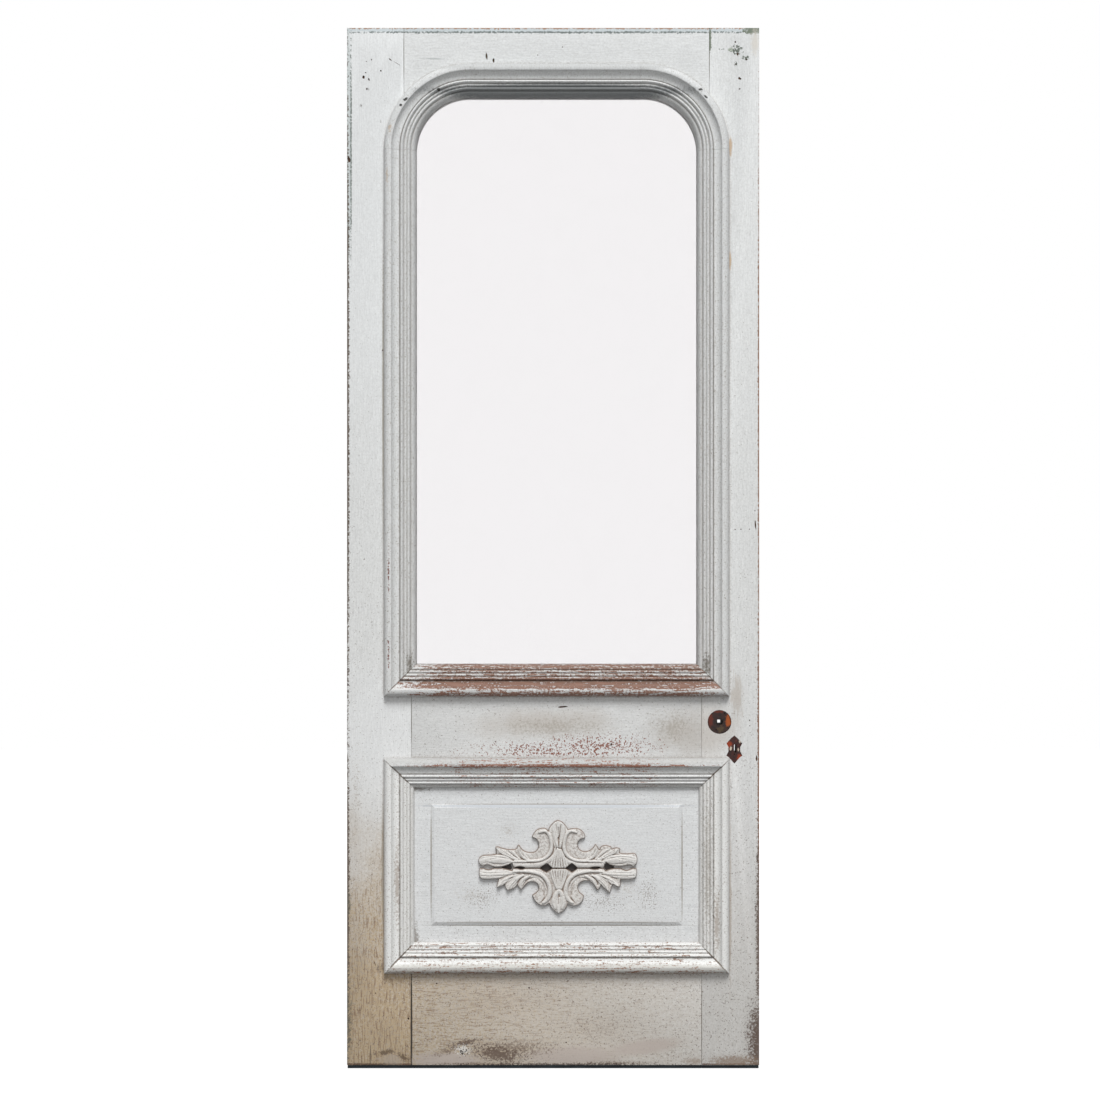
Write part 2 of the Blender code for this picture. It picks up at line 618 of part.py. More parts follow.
UPPER_SCROLL = [
    ([(-54, 73), (-44, 81), (-31, 83), (-20, 75), (-16.5, 58), (-19, 42), (-29, 28), (-46, 20), (-72, 16),
      (-101, 14)], [4, 7, 9, 10, 10, 10, 10, 9, 8, 6], 1.0),
    ([(-57, 71), (-45, 74), (-35, 68), (-31, 56), (-36, 42), (-47, 31), (-62, 26), (-77, 33), (-88, 51)],
     [2, 14, 19, 19, 18, 17, 15, 12, 2], 0.60),
    ([(-104, 7), (-86, 7), (-66, 7.5), (-46, 8.5), (-28, 13)], [5, 12, 13, 14, 10], 0.80),
]
UPPER_END = [
    ([(-96, 16), (-118, 21), (-140, 20), (-158, 19), (-171, 18.5), (-177.5, 18.5)],
     [16, 25, 25, 25, 19, 7], 0.85),
]
UPPER_LEFT_LEAVES = [
    ([(-99, 20), (-118, 32), (-138, 47)], [20, 24, 2], 0.95),
    ([(-90, 22), (-103, 33), (-113, 42)], [20, 22, 8], 0.80),
    ([(-76, 18), (-85, 34), (-88, 53)], [16, 17, 2], 0.90),
]
UPPER_RIGHT_LEAVES = [
    ([(108, 18), (122, 32), (134, 44)], [20, 24, 6], 0.80),
    ([(97, 18), (103, 34), (108, 49)], [20, 24, 8], 0.95),
    ([(76, 18), (82, 36), (84, 52)], [16, 17, 2], 0.90),
]
UPPER_CENTRE = [
    ([(1, 42), (1, 57), (0.5, 72), (0, 86), (0, 97), (0, 105)], [20, 30, 40, 42, 28, 8], 0.66),
    ([(1, 46), (1, 28), (1, 12), (1, -2)], [20, 32, 48, 28], 0.66),
    ([(0, 46), (-9, 62), (-14, 76), (-17, 88)], [5, 9, 11, 4], 0.84),
    ([(0.5, 46), (-4, 66), (-7, 86), (-8, 99)], [5, 9, 10, 4], 0.92),
    ([(1.5, 46), (1, 66), (0.5, 88), (0, 105)], [5, 8, 9, 4], 1.0),
    ([(2, 46), (6, 66), (8, 86), (8, 99)], [5, 9, 10, 4], 0.92),
    ([(2, 46), (11, 62), (16, 76), (19, 88)], [5, 9, 11, 4], 0.84),
    ([(0, 48), (-9, 32), (-17, 18), (-22, 10)], [5, 9, 11, 5], 0.84),
    ([(0.5, 48), (-4, 30), (-8, 12), (-10, -1)], [5, 8, 10, 8], 0.92),
    ([(1.5, 48), (1.5, 30), (1.5, 12), (1.5, -1)], [5, 8, 10, 10], 1.0),
    ([(2, 48), (7, 30), (11, 12), (13, -1)], [5, 8, 10, 8], 0.92),
    ([(2, 48), (12, 32), (20, 18), (25, 10)], [5, 9, 11, 5], 0.84),
]
LOWER_SCROLL = [
    ([(-100, -10), (-75, -11), (-56, -12), (-37, -19), (-23, -36), (-17.5, -54), (-20, -70), (-31, -80)],
     [6, 9, 10, 11, 12, 12, 11, 5], 1.0),
    ([(-82, -44), (-70, -27), (-56, -20), (-43, -25), (-34, -41), (-33, -57), (-43, -68), (-56, -60)],
     [2, 9, 12, 12, 14, 18, 17, 3], 0.60),
    ([(-101, -5), (-84, -6), (-66, -6), (-46, -7.5), (-28, -13)], [6, 11, 12, 13, 10], 0.80),
]
LOWER_END = [
    ([(-96, -12), (-118, -13), (-140, -13), (-158, -12.5), (-170, -12.5), (-176.5, -12.5)],
     [15, 22, 23, 23, 18, 7], 0.85),
]
LOWER_LEFT_LEAVES = [
    ([(-108, -16), (-122, -28), (-136, -40)], [19, 21, 2], 0.85),
    ([(-90, -16), (-100, -32), (-108, -45)], [20, 25, 9], 0.95),
    ([(-74, -14), (-80, -32), (-84, -47)], [16, 18, 2], 0.90),
]
LOWER_RIGHT_LEAVES = [
    ([(106, -16), (122, -28), (137, -40)], [19, 21, 3], 0.85),
    ([(90, -16), (103, -34), (114, -54)], [20, 24, 2], 0.95),
    ([(72, -14), (80, -31), (85, -47)], [16, 17, 2], 0.90),
]
LOWER_CENTRE = [
    ([(0.5, -44), (0.5, -56), (0.5, -68), (0.5, -80), (0.5, -90), (0.5, -98)], [20, 28, 38, 40, 26, 8], 0.66),
    ([(0.5, -50), (0.5, -30), (0.5, -13), (0.5, 2)], [20, 30, 46, 28], 0.66),
    ([(0, -47), (-8, -60), (-13, -72), (-17, -82)], [5, 9, 11, 4], 0.84),
    ([(0, -47), (-4, -64), (-7, -80), (-7, -92)], [5, 9, 10, 4], 0.92),
    ([(0.5, -47), (0.5, -64), (0.5, -82), (0.5, -98)], [5, 8, 9, 4], 1.0),
    ([(1, -47), (6, -64), (9, -80), (9, -92)], [5, 9, 10, 4], 0.92),
    ([(1, -47), (9, -60), (15, -72), (19, -82)], [5, 9, 11, 4], 0.84),
    ([(0, -52), (-9, -34), (-17, -19), (-22, -11)], [5, 9, 11, 5], 0.84),
    ([(0, -52), (-4, -34), (-8, -13), (-10, 1)], [5, 8, 10, 8], 0.92),
    ([(0.5, -52), (0.5, -34), (0.5, -13), (0.5, 1)], [5, 8, 10, 10], 1.0),
    ([(1, -52), (6, -34), (10, -13), (12, 1)], [5, 8, 10, 8], 0.92),
    ([(1, -52), (10, -34), (18, -19), (24, -11)], [5, 9, 11, 5], 0.84),
]


def mirrored(strokes):
    """The same strokes on the other side of the ornament's middle."""
    return [([(-u, v) for u, v in path], widths, crest) for path, widths, crest in strokes]


def along(values, t):
    """A smooth value between the given ones, t from 0 to 1 through all of them."""
    last = len(values) - 1
    place_along = min(max(t, 0.0), 1.0) * last
    i = min(int(place_along), last - 1)
    f = place_along - i
    before = values[max(i - 1, 0)]
    here = values[i]
    there = values[i + 1]
    after = values[min(i + 2, last)]
    return here + 0.5 * f * (there - before + f * (2 * before - 5 * here + 4 * there - after
                                                   + f * (3 * (here - there) + after - before)))


def stroke_body(path, widths, crest, seat_depth, sink):
    """One carved stroke: a ridge that follows a curve, widest where the widths say."""
    scale = ORNAMENT_WIDTH / TEMPLATE_WIDTH
    stations = len(path) - 1
    if len(path) > SHORT_STROKE_POINTS:
        stations += stations // 3
    centre_x = (PANEL_LEFT + PANEL_RIGHT) / 2 + ORNAMENT_RIGHT_OF_CENTRE
    joint_z = (PANEL_BOTTOM + PANEL_TOP) / 2 - ORNAMENT_JOINT_BELOW_CENTRE
    us = [point[0] for point in path]
    vs = [point[1] for point in path]
    widest = max(widths)
    rings = []
    for i in range(stations + 1):
        t = i / stations
        u = along(us, t)
        v = along(vs, t)
        step_u = along(us, t + DIRECTION_STEP) - along(us, t - DIRECTION_STEP)
        step_v = along(vs, t + DIRECTION_STEP) - along(vs, t - DIRECTION_STEP)
        length = math.hypot(step_u, step_v)
        across = (-step_v / length, step_u / length)
        half = along(widths, t) / 2
        side = ORNAMENT_RELIEF * TEMPLATE_SIDE
        top = side + (ORNAMENT_RELIEF * crest - side) * math.sqrt(min(1.0, 2 * half / widest))
        shoulder = half * SHOULDER_OUT
        rise = side + SHOULDER_UP * (top - side)
        if widest > RIDGE_WIDTH:
            section = [(-half, sink), (-half, side), (-shoulder, rise), (0, top),
                       (shoulder, rise), (half, side), (half, sink)]
        else:
            section = [(-half, sink), (-half, side), (0, top), (half, side), (half, sink)]
        rings.append([place(centre_x + scale * (u + out * across[0]), seat_depth - height,
                            joint_z + scale * (v + out * across[1])) for out, height in section])
    return loft(rings)


def ornament_half(name, strokes, is_upper, paint):
    """Half of the ornament: all its strokes made one, flat at the back and along the joint."""
    seat_depth = PANEL_SETBACK - FIELD_RAISE - FIT_GAP
    joint_z = (PANEL_BOTTOM + PANEL_TOP) / 2 - ORNAMENT_JOINT_BELOW_CENTRE
    others = bpy.data.collections.new(f"{name}_strokes")
    bpy.context.scene.collection.children.link(others)
    pieces = []
    for number, (path, widths, crest) in enumerate(strokes):
        body = stroke_body(path, widths, crest, seat_depth, -SINK - number * SINK_STEP)
        piece = add_object(name if number == 0 else f"{name}_stroke_{number}", body,
                           paint if number == 0 else None)
        pieces.append(piece)
    for piece in pieces[1:]:
        bpy.context.scene.collection.objects.unlink(piece)
        others.objects.link(piece)
        piece.hide_render = True
        piece.display_type = 'WIRE'
    half = pieces[0]
    merge = half.modifiers.new("strokes_made_one", 'BOOLEAN')
    merge.operation = 'UNION'
    merge.solver = 'EXACT'
    merge.use_self = True
    merge.operand_type = 'COLLECTION'
    merge.collection = others
    reach = ORNAMENT_WIDTH
    middle = (PANEL_LEFT + PANEL_RIGHT) / 2
    behind = box(middle - reach, middle + reach, seat_depth, seat_depth + 3 * PAST,
                 joint_z - reach, joint_z + reach)
    modify(half, 'DIFFERENCE', behind, "flat_back")
    if is_upper:
        span = (joint_z - reach, joint_z + FIT_GAP / 2)
    else:
        span = (joint_z - FIT_GAP / 2, joint_z + reach)
    past_joint = box(middle - reach, middle + reach, seat_depth - reach, seat_depth + 2 * PAST, *span)
    modify(half, 'DIFFERENCE', past_joint, "level_joint")
    return half


# The lock

def mortise_lock(iron):
    """The lock's iron case, its hub with a square hole, and its front plate in the lock edge."""
    half = LOCK_CASE_THICKNESS / 2
    case = box(LOCK_CASE_LEFT, DOOR_WIDTH - LOCK_PLATE_THICKNESS / 2, MIDDLE_DEPTH - half,
               MIDDLE_DEPTH + half, LOCK_CASE_BOTTOM, LOCK_CASE_TOP)
    lock = add_object("mortise_lock", case, iron)
    half = LOCK_PLATE_WIDTH / 2
    plate = box(DOOR_WIDTH - LOCK_PLATE_THICKNESS, DOOR_WIDTH, MIDDLE_DEPTH - half, MIDDLE_DEPTH + half,
                LOCK_CASE_BOTTOM - LOCK_PLATE_OVERHANG, LOCK_CASE_TOP + LOCK_PLATE_OVERHANG)
    modify(lock, 'UNION', plate, "front_plate")
    reach = LOCK_CASE_THICKNESS / 2 + LOCK_HUB_STAND
    hub = round_bar(SPINDLE_X, SPINDLE_HEIGHT, LOCK_HUB_DIAMETER / 2, MIDDLE_DEPTH - reach,
                    MIDDLE_DEPTH + reach)
    modify(lock, 'UNION', hub, "hub")
    half = SPINDLE_SQUARE / 2
    square = box(SPINDLE_X - half, SPINDLE_X + half, -PAST, DOOR_THICKNESS + PAST,
                 SPINDLE_HEIGHT - half, SPINDLE_HEIGHT + half)
    modify(lock, 'DIFFERENCE', square, "spindle_square")
    slot = prism(keyhole_outline(), -PAST, DOOR_THICKNESS + PAST)
    modify(lock, 'DIFFERENCE', slot, "keyhole")
    for label, middle, height in (("latch_mouth", SPINDLE_HEIGHT, LATCH_MOUTH_HEIGHT),
                                  ("deadbolt_mouth", KEYHOLE_Z, DEADBOLT_MOUTH_HEIGHT)):
        half = BOLT_MOUTH_WIDTH / 2
        mouth = box(DOOR_WIDTH - BOLT_MOUTH_DEPTH, DOOR_WIDTH + PAST, MIDDLE_DEPTH - half,
                    MIDDLE_DEPTH + half, middle - height / 2, middle + height / 2)
        modify(lock, 'DIFFERENCE', mouth, label)
    return lock


def build():
    """Make every piece of the door."""
    clear_scene()
    paint = finish_material("painted_softwood", (0.62, 0.63, 0.60), 0.6)
    trim_paint = finish_material("painted_moulding", (0.58, 0.57, 0.53), 0.6)
    carved_paint = finish_material("painted_carving", (0.64, 0.61, 0.56), 0.65)
    glass = finish_material("clear_glass", (0.95, 0.97, 0.96), 0.03, alpha=0.25)
    iron = finish_material("lock_iron", (0.16, 0.15, 0.14), 0.5, metallic=0.9)

    hinge_stile(paint)
    lock_stile(paint)
    top_rail(paint)
    lock_rail(paint)
    bottom_rail(paint)
    glass_pane(glass)
    lower_panel(paint)

    light_section = front_section(LIGHT_BAND_WIDTH, MOULDING_LAP, GLASS_SETBACK)
    light_moulding("light_moulding", light_section, trim_paint)
    panel_section = front_section(PANEL_BAND_WIDTH, PANEL_LAP, PANEL_SETBACK)
    panel_moulding("panel_moulding", panel_section, PANEL_LAP, trim_paint)

    behind_glass = GLASS_SETBACK + GLASS_THICKNESS
    light_moulding("back_light_bead", back_section(MOULDING_LAP, SIGHT_INSET, behind_glass, BEAD_ROUND),
                   trim_paint)
    behind_panel = DOOR_THICKNESS - PANEL_SETBACK
    panel_bead = back_section(0.0, BACK_BEAD_WIDTH, behind_panel, PANEL_SETBACK / 2)
    panel_moulding("back_panel_bead", panel_bead, 0.0, trim_paint)

    upper = (UPPER_CENTRE + UPPER_SCROLL + mirrored(UPPER_SCROLL) + UPPER_END + mirrored(UPPER_END)
             + UPPER_LEFT_LEAVES + UPPER_RIGHT_LEAVES)
    ornament_half("ornament_upper", upper, True, carved_paint)
    lower = (LOWER_CENTRE + LOWER_SCROLL + mirrored(LOWER_SCROLL) + LOWER_END + mirrored(LOWER_END)
             + LOWER_LEFT_LEAVES + LOWER_RIGHT_LEAVES)
    ornament_half("ornament_lower", lower, False, carved_paint)
    mortise_lock(iron)


build()
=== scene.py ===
"""Looks of an old painted door leaf with a round-cornered glazed light and a carved panel.

Metres, +Z up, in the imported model's frame: the front of the door faces -Y and its hinge edge -X.
Places on the door are given as a joiner would: x from the hinge edge, z from the foot.
"""
import math
import random

import bmesh
import bpy
import numpy as np
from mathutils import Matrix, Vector


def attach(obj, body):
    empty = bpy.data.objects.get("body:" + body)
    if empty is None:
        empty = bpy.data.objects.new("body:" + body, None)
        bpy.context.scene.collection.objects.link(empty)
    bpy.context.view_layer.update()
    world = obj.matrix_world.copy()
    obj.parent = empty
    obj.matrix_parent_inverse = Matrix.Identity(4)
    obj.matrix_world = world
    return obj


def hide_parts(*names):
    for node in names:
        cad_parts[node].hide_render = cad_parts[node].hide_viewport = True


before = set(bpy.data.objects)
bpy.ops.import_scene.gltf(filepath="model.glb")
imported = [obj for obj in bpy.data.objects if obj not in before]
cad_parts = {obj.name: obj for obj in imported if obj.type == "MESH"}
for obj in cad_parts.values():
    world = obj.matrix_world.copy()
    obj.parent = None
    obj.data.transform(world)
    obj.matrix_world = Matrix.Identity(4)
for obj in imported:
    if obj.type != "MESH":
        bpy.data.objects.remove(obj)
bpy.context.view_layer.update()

# The door's own corner in the model's frame, its thickness, and the rebate at its foot, dark with weathering
# and painted shadow
EDGE_X = -0.003
FACE_Y = -0.0255
FOOT_Z = -1.2065
DOOR_THICKNESS = 0.0445
BACK_Y = FACE_Y + DOOR_THICKNESS
REBATE_HEIGHT = 0.010
REBATE_DEPTH = 0.012

# The two openings, at the edge of the frame's wood
LIGHT_LEFT = 0.126
LIGHT_RIGHT = 0.8039
LIGHT_BOTTOM = 0.872
LIGHT_TOP = 2.1864
PANEL_LEFT = 0.143
PANEL_RIGHT = 0.7869
PANEL_BOTTOM = 0.2755
PANEL_TOP = 0.631

# The bolection moulding, and the width that its dirty quirks are laid out in
QUIRKS_WIDTH = 0.071
LIGHT_LAP = 0.044
PANEL_LAP = 0.061
CORNER_RADIUS = 0.1469
CORNER_OVERRUN = 0.007
JOINT_GAP = 0.0003
GLASS_SETBACK = 0.018
GLASS_THICKNESS = 0.005
PANEL_SETBACK = 0.008
TONGUE = 0.001

# Widths of the moulding's flat inner band, and of the beads at the back
LIGHT_BAND = 0.0095
PANEL_BAND = 0.0055
LIGHT_BEAD = 0.0269
PANEL_BEAD = 0.018

MOULDING_RADIUS = CORNER_RADIUS + LIGHT_LAP
SPRING = LIGHT_TOP - CORNER_RADIUS

# A hair's breadth, and the length under which an edge is left sharp
TINY = 0.00005
SHORT_EDGE = 0.012

# Seats of the knob's rose and the keyhole plate, and the ways through them
SEAT_SINK = 0.0008
ROSE_X = 0.8264
ROSE_Z = 0.7714
ROSE_REACH = 0.028
SPINDLE_REACH = 0.008
PLATE_X = 0.8594
PLATE_Z = 0.7104
PLATE_REACH = 0.033
KEYHOLE_REACH = 0.012

# The carved ornament: the middle of its joint, the plane it sits on, and how far it stands out
CARVING_X = 0.46745
CARVING_Z = 0.44725
CARVING_SEAT = 0.0037
CARVING_RELIEF = 0.0129

# Patches of paint read from the front fade out between these depths, so that the back keeps its own
PATCH_FULL = 0.018
PATCH_GONE = 0.034


def at(x, z, depth=0.0):
    """A point on the door, in the model's frame: depth runs back from the front face."""
    return Vector((x + EDGE_X, FACE_Y + depth, z + FOOT_Z))


# Finishes

def srgb(code):
    """A colour given as sRGB hex, made linear."""
    values = [int(code[i:i + 2], 16) / 255 for i in (0, 2, 4)]
    return (*[v / 12.92 if v <= 0.04045 else ((v + 0.055) / 1.055) ** 2.4 for v in values], 1.0)


def put(tree, node, sockets):
    """Give each socket of a node, by name or number, its value or its link."""
    for key, value in sockets.items():
        if isinstance(value, bpy.types.NodeSocket):
            tree.links.new(value, node.inputs[key])
        else:
            node.inputs[key].default_value = value


def add(tree, kind, sockets, give=0, stops=(), **settings):
    """Add a node with its settings and links, and give back one of its outputs, or the node if give
    is None. stops are a colour ramp's (position, colour or grey)."""
    made = tree.nodes.new(kind)
    for name, value in settings.items():
        setattr(made, name, value)
    put(tree, made, sockets)
    if stops:
        ramp = made.color_ramp
        while len(ramp.elements) < len(stops):
            ramp.elements.new(1.0)
        for element, (position, colour) in zip(ramp.elements, stops):
            element.position = position
            element.color = colour if isinstance(colour, tuple) else (colour, colour, colour, 1.0)
    return made if give is None else made.outputs[give]


def new_finish(name):
    """A material with its shader, and the object's own coordinates."""
    material = bpy.data.materials.new(name)
    material.use_nodes = True
    tree = material.node_tree
    return material, tree, tree.nodes["Principled BSDF"], add(tree, "ShaderNodeTexCoord", {}, give="Object")


def nearness(tree, place, patches):
    """How near a point is to the middle of the nearest patch: one there and none at its rim.
    A patch is (x, z, half its width, half its height), and a lean in degrees if it has one."""
    best = None
    for x, z, across, up, *lean in patches:
        turn = (0.0, math.radians(-lean[0]) if lean else 0.0, 0.0)
        laid = add(tree, "ShaderNodeMapping", {"Vector": place, "Location": at(x, z), "Rotation": turn,
                                               "Scale": (across, 1.0, up)}, vector_type='TEXTURE')
        near = add(tree, "ShaderNodeTexGradient", {"Vector": laid}, give="Fac", gradient_type='SPHERICAL')
        best = near if best is None else add(tree, "ShaderNodeMath", {0: best, 1: near}, operation='MAXIMUM')
    return best


def filmed(tree, colour, cloud, streaks, mottle, x, z, film):
    """Yellow-brown, dirty film: all over the foot of the hinge side, thinner towards the lock side."""
    ragged = add(tree, "ShaderNodeMath", {0: cloud, 1: -0.5, 2: z}, operation='MULTIPLY_ADD')
    down = add(tree, "ShaderNodeMapRange", {"Value": ragged, "From Min": FOOT_Z + 0.46,
                                            "From Max": FOOT_Z - 0.14, "To Max": film},
               interpolation_type='SMOOTHSTEP')
    side = add(tree, "ShaderNodeMapRange", {"Value": x, "From Min": 0.10, "From Max": 0.80,
                                            "To Min": 1.25, "To Max": 0.30})
    spread = add(tree, "ShaderNodeMath", {0: down, 1: side}, operation='MULTIPLY')
    thick = add(tree, "ShaderNodeMapRange", {"Value": mottle, "From Min": 0.30, "From Max": 0.62,
                                             "To Min": 1.22, "To Max": 0.55})
    amount = add(tree, "ShaderNodeMath", {0: spread, 1: thick}, operation='MULTIPLY', use_clamp=True)
    colour = add(tree, "ShaderNodeMix", {0: amount, 6: colour, 7: srgb("AD9A7E")},
                 give=2, data_type='RGBA')
    veins = add(tree, "ShaderNodeMapRange", {"Value": streaks, "From Min": 0.52, "From Max": 0.60,
                                             "To Max": 0.9}, interpolation_type='SMOOTHSTEP')
    veined = add(tree, "ShaderNodeMath", {0: veins, 1: amount}, operation='MULTIPLY')
    return add(tree, "ShaderNodeMix", {0: veined, 6: colour, 7: srgb("7B6450")}, give=2, data_type='RGBA')


def patched(tree, colour, place, y, patterns, marks):
    """Patches of other colours, each broken up by a pattern of its own size, on the door's front half."""
    front = add(tree, "ShaderNodeMapRange", {"Value": y, "From Min": FACE_Y + PATCH_GONE,
                                             "From Max": FACE_Y + PATCH_FULL})
    for code, most, pattern, spread, low, high, patches in marks:
        near = nearness(tree, place, patches)
        uneven = add(tree, "ShaderNodeMath", {0: patterns[pattern], 1: spread, 2: near},
                     operation='MULTIPLY_ADD')
        share = add(tree, "ShaderNodeMapRange", {"Value": uneven, "From Min": low + spread / 2,
                                                 "From Max": high + spread / 2, "To Max": most},
                    interpolation_type='SMOOTHSTEP')
        rim = add(tree, "ShaderNodeMapRange", {"Value": near, "From Min": 0.0, "From Max": 0.12,
                                               "To Max": front})
        kept = add(tree, "ShaderNodeMath", {0: share, 1: rim}, operation='MULTIPLY')
        colour = add(tree, "ShaderNodeMix", {0: kept, 6: colour, 7: srgb(code)}, give=2, data_type='RGBA')
    return colour


def painted_pine(name, grain, marks=(), film=0.0, grime_and_shade=None, worn=None, lighter=0.0, soil_and_shade="5E5348"):
    """Old oil paint, brushed on planed pine. It looks chalky grey-white, finely crazed, streaked with
    the grain, dirty and darkened by painted shade in its corners, and worn to red-brown wood in places.
    grain is the direction the wood runs in. marks are patches of other colours: (hex, most share,
    pattern that breaks it up, how strongly, where it starts and is full, patches). film is how thick a
    yellow-brown, dirty layer lies on it near the foot. The two that follow are made for a moulding's or
    carving's own section: the first lays a dirty colour with painted shade in its hollows, the second
    wears the paint away. The last argument is the colour of that dirty shade, and the one before it
    makes the tone lighter and the corners less dirty and less shaded."""
    material, tree, shader, place = new_finish(name)
    spot = add(tree, "ShaderNodeSeparateXYZ", {0: place}, give=None)
    x, y, z = spot.outputs[0], spot.outputs[1], spot.outputs[2]

    # Tone: lighter and cooler high on the door, darker and duller towards the foot, in clouds about 150 mm
    # wide
    cloud = add(tree, "ShaderNodeTexNoise", {"Vector": place, "Scale": 6.5, "Detail": 5.0, "Roughness": 0.66})
    lift = add(tree, "ShaderNodeMath", {0: cloud, 1: 0.8, 2: z}, operation='MULTIPLY_ADD')
    reach = add(tree, "ShaderNodeMapRange", {"Value": lift, "From Min": -1.1 - lighter,
                                             "From Max": 1.5 - lighter})
    tone = add(tree, "ShaderNodeValToRGB", {0: reach}, stops=TONES)

    # Brush marks about 1 mm wide along the grain, and a mottle of chalky and greasy spots of 2 to 3 mm
    length = (0.07, 1.0, 1.0) if grain == "X" else (1.0, 1.0, 0.07)
    streaked = add(tree, "ShaderNodeMapping", {"Vector": place, "Scale": length})
    streaks = add(tree, "ShaderNodeTexNoise", {"Vector": streaked, "Scale": 430.0, "Detail": 4.0,
                                               "Roughness": 0.6})
    spots = add(tree, "ShaderNodeTexNoise", {"Vector": place, "Scale": 190.0, "Detail": 6.0,
                                             "Roughness": 0.72}, give=None)
    mottle = spots.outputs[0]
    texture = add(tree, "ShaderNodeMath", {0: streaks, 1: mottle})
    shade = add(tree, "ShaderNodeMapRange", {"Value": texture, "From Min": 0.74, "From Max": 1.26,
                                             "To Min": 0.86, "To Max": 1.095})
    colour = add(tree, "ShaderNodeVectorMath", {0: tone, 1: shade}, operation='MULTIPLY')

    # Crazing: fine dark cracks in cells of about 5 by 10 mm, longer with the grain. The real cells
    # are nearer 2 mm, too fine to show, so they are drawn coarser
    cells = (105.0, 210.0, 210.0) if grain == "X" else (210.0, 210.0, 105.0)
    sized = add(tree, "ShaderNodeVectorMath", {0: place, 1: cells}, operation='MULTIPLY')
    bent = add(tree, "ShaderNodeVectorMath", {0: spots.outputs[1], 1: (1.1, 1.1, 1.1), 2: sized},
               operation='MULTIPLY_ADD')
    edges = add(tree, "ShaderNodeTexVoronoi", {"Vector": bent, "Scale": 1.0}, feature='DISTANCE_TO_EDGE')
    cracks = add(tree, "ShaderNodeMapRange", {"Value": edges, "From Min": 0.10, "From Max": 0.0,
                                              "To Min": 0.0, "To Max": 0.16 + 0.2 * lighter})
    colour = add(tree, "ShaderNodeMix", {0: cracks, 6: colour, 7: srgb("8A857B")}, give=2, data_type='RGBA')

    if film:
        colour = filmed(tree, colour, cloud, streaks, mottle, x, z, film)

    # Dirt, and painted shade, where two surfaces meet: the more closed in a point is, the darker
    nook = add(tree, "ShaderNodeAmbientOcclusion", {"Distance": 0.012}, give="AO", samples=6)
    hollow = add(tree, "ShaderNodeMath", {0: mottle, 1: 0.7, 2: nook}, operation='MULTIPLY_ADD')
    dirt_and_shade = add(tree, "ShaderNodeMapRange", {"Value": hollow, "From Min": 1.10, "From Max": 0.66,
                                            "To Min": 0.0, "To Max": 0.62 - 0.6 * lighter})
    colour = add(tree, "ShaderNodeMix", {0: dirt_and_shade, 6: colour, 7: srgb("7C6A59")}, give=2, data_type='RGBA')

    # Specks of dirt about 2 mm wide, thicker low on the door
    grit = add(tree, "ShaderNodeTexNoise", {"Vector": place, "Scale": 330.0, "Detail": 2.0, "Roughness": 0.5})
    level = add(tree, "ShaderNodeMapRange", {"Value": lift, "From Min": -1.0, "From Max": 1.2,
                                             "To Min": 0.62, "To Max": 0.735})
    over_level = add(tree, "ShaderNodeMath", {0: grit, 1: level}, operation='SUBTRACT')
    speck = add(tree, "ShaderNodeMapRange", {"Value": over_level, "From Min": 0.0, "From Max": 0.03,
                                             "To Max": 0.7})
    colour = add(tree, "ShaderNodeMix", {0: speck, 6: colour, 7: srgb("5A4638")}, give=2, data_type='RGBA')

    patterns = {"cloud": cloud, "fine": mottle, "speck": grit, "streak": streaks}
    colour = patched(tree, colour, place, y, patterns, marks)
    depth = add(tree, "ShaderNodeMath", {0: cracks, 1: -1.0, 2: texture}, operation='MULTIPLY_ADD')

    # A moulding's own wear, and its dirt with painted shade, read from how far in from its outer edge a point
    # is
    if worn is not None:
        bare, ground = worn(tree, x, streaks, mottle)
        colour = add(tree, "ShaderNodeMix", {0: bare, 6: colour, 7: ground}, give=2, data_type='RGBA')
        depth = add(tree, "ShaderNodeMath", {0: bare, 1: -1.2, 2: depth}, operation='MULTIPLY_ADD')
    if grime_and_shade is not None:
        colour = add(tree, "ShaderNodeMix", {0: grime_and_shade(tree, mottle), 6: colour, 7: srgb(soil_and_shade)},
                     give=2, data_type='RGBA')

    relief = add(tree, "ShaderNodeBump", {"Height": depth, "Strength": 0.5, "Distance": 0.0004})
    rough = add(tree, "ShaderNodeMapRange", {"Value": mottle, "To Min": 0.5, "To Max": 0.75})
    put(tree, shader, {"Base Color": colour, "Roughness": rough, "Normal": relief, "IOR": 1.48})
    return material


def section_grime_and_shade(much):
    """Dirt that settles in the quirks of a moulding, and the shade that falls there, painted as darker lines.
    """
    def lines(tree, mottle):
        across = add(tree, "ShaderNodeAttribute", {}, give="Fac", attribute_name="across")
        share = add(tree, "ShaderNodeMath", {0: across, 1: QUIRKS_WIDTH}, operation='DIVIDE')
        ramp = add(tree, "ShaderNodeValToRGB", {0: share}, stops=[
            (0.0, 0.20), (0.03, 0.06), (0.45, 0.03), (0.492, 0.90), (0.515, 0.03), (0.62, 0.16),
            (0.66, 0.03), (0.73, 0.28), (0.76, 0.03), (0.82, 0.40), (0.87, 0.20), (1.0, 0.15)])
        uneven = add(tree, "ShaderNodeMapRange", {"Value": mottle, "From Min": 0.35, "From Max": 0.65,
                                                  "To Min": 0.3 * much, "To Max": 1.15 * much})
        return add(tree, "ShaderNodeMath", {0: ramp, 1: uneven}, operation='MULTIPLY', use_clamp=True)
    return lines


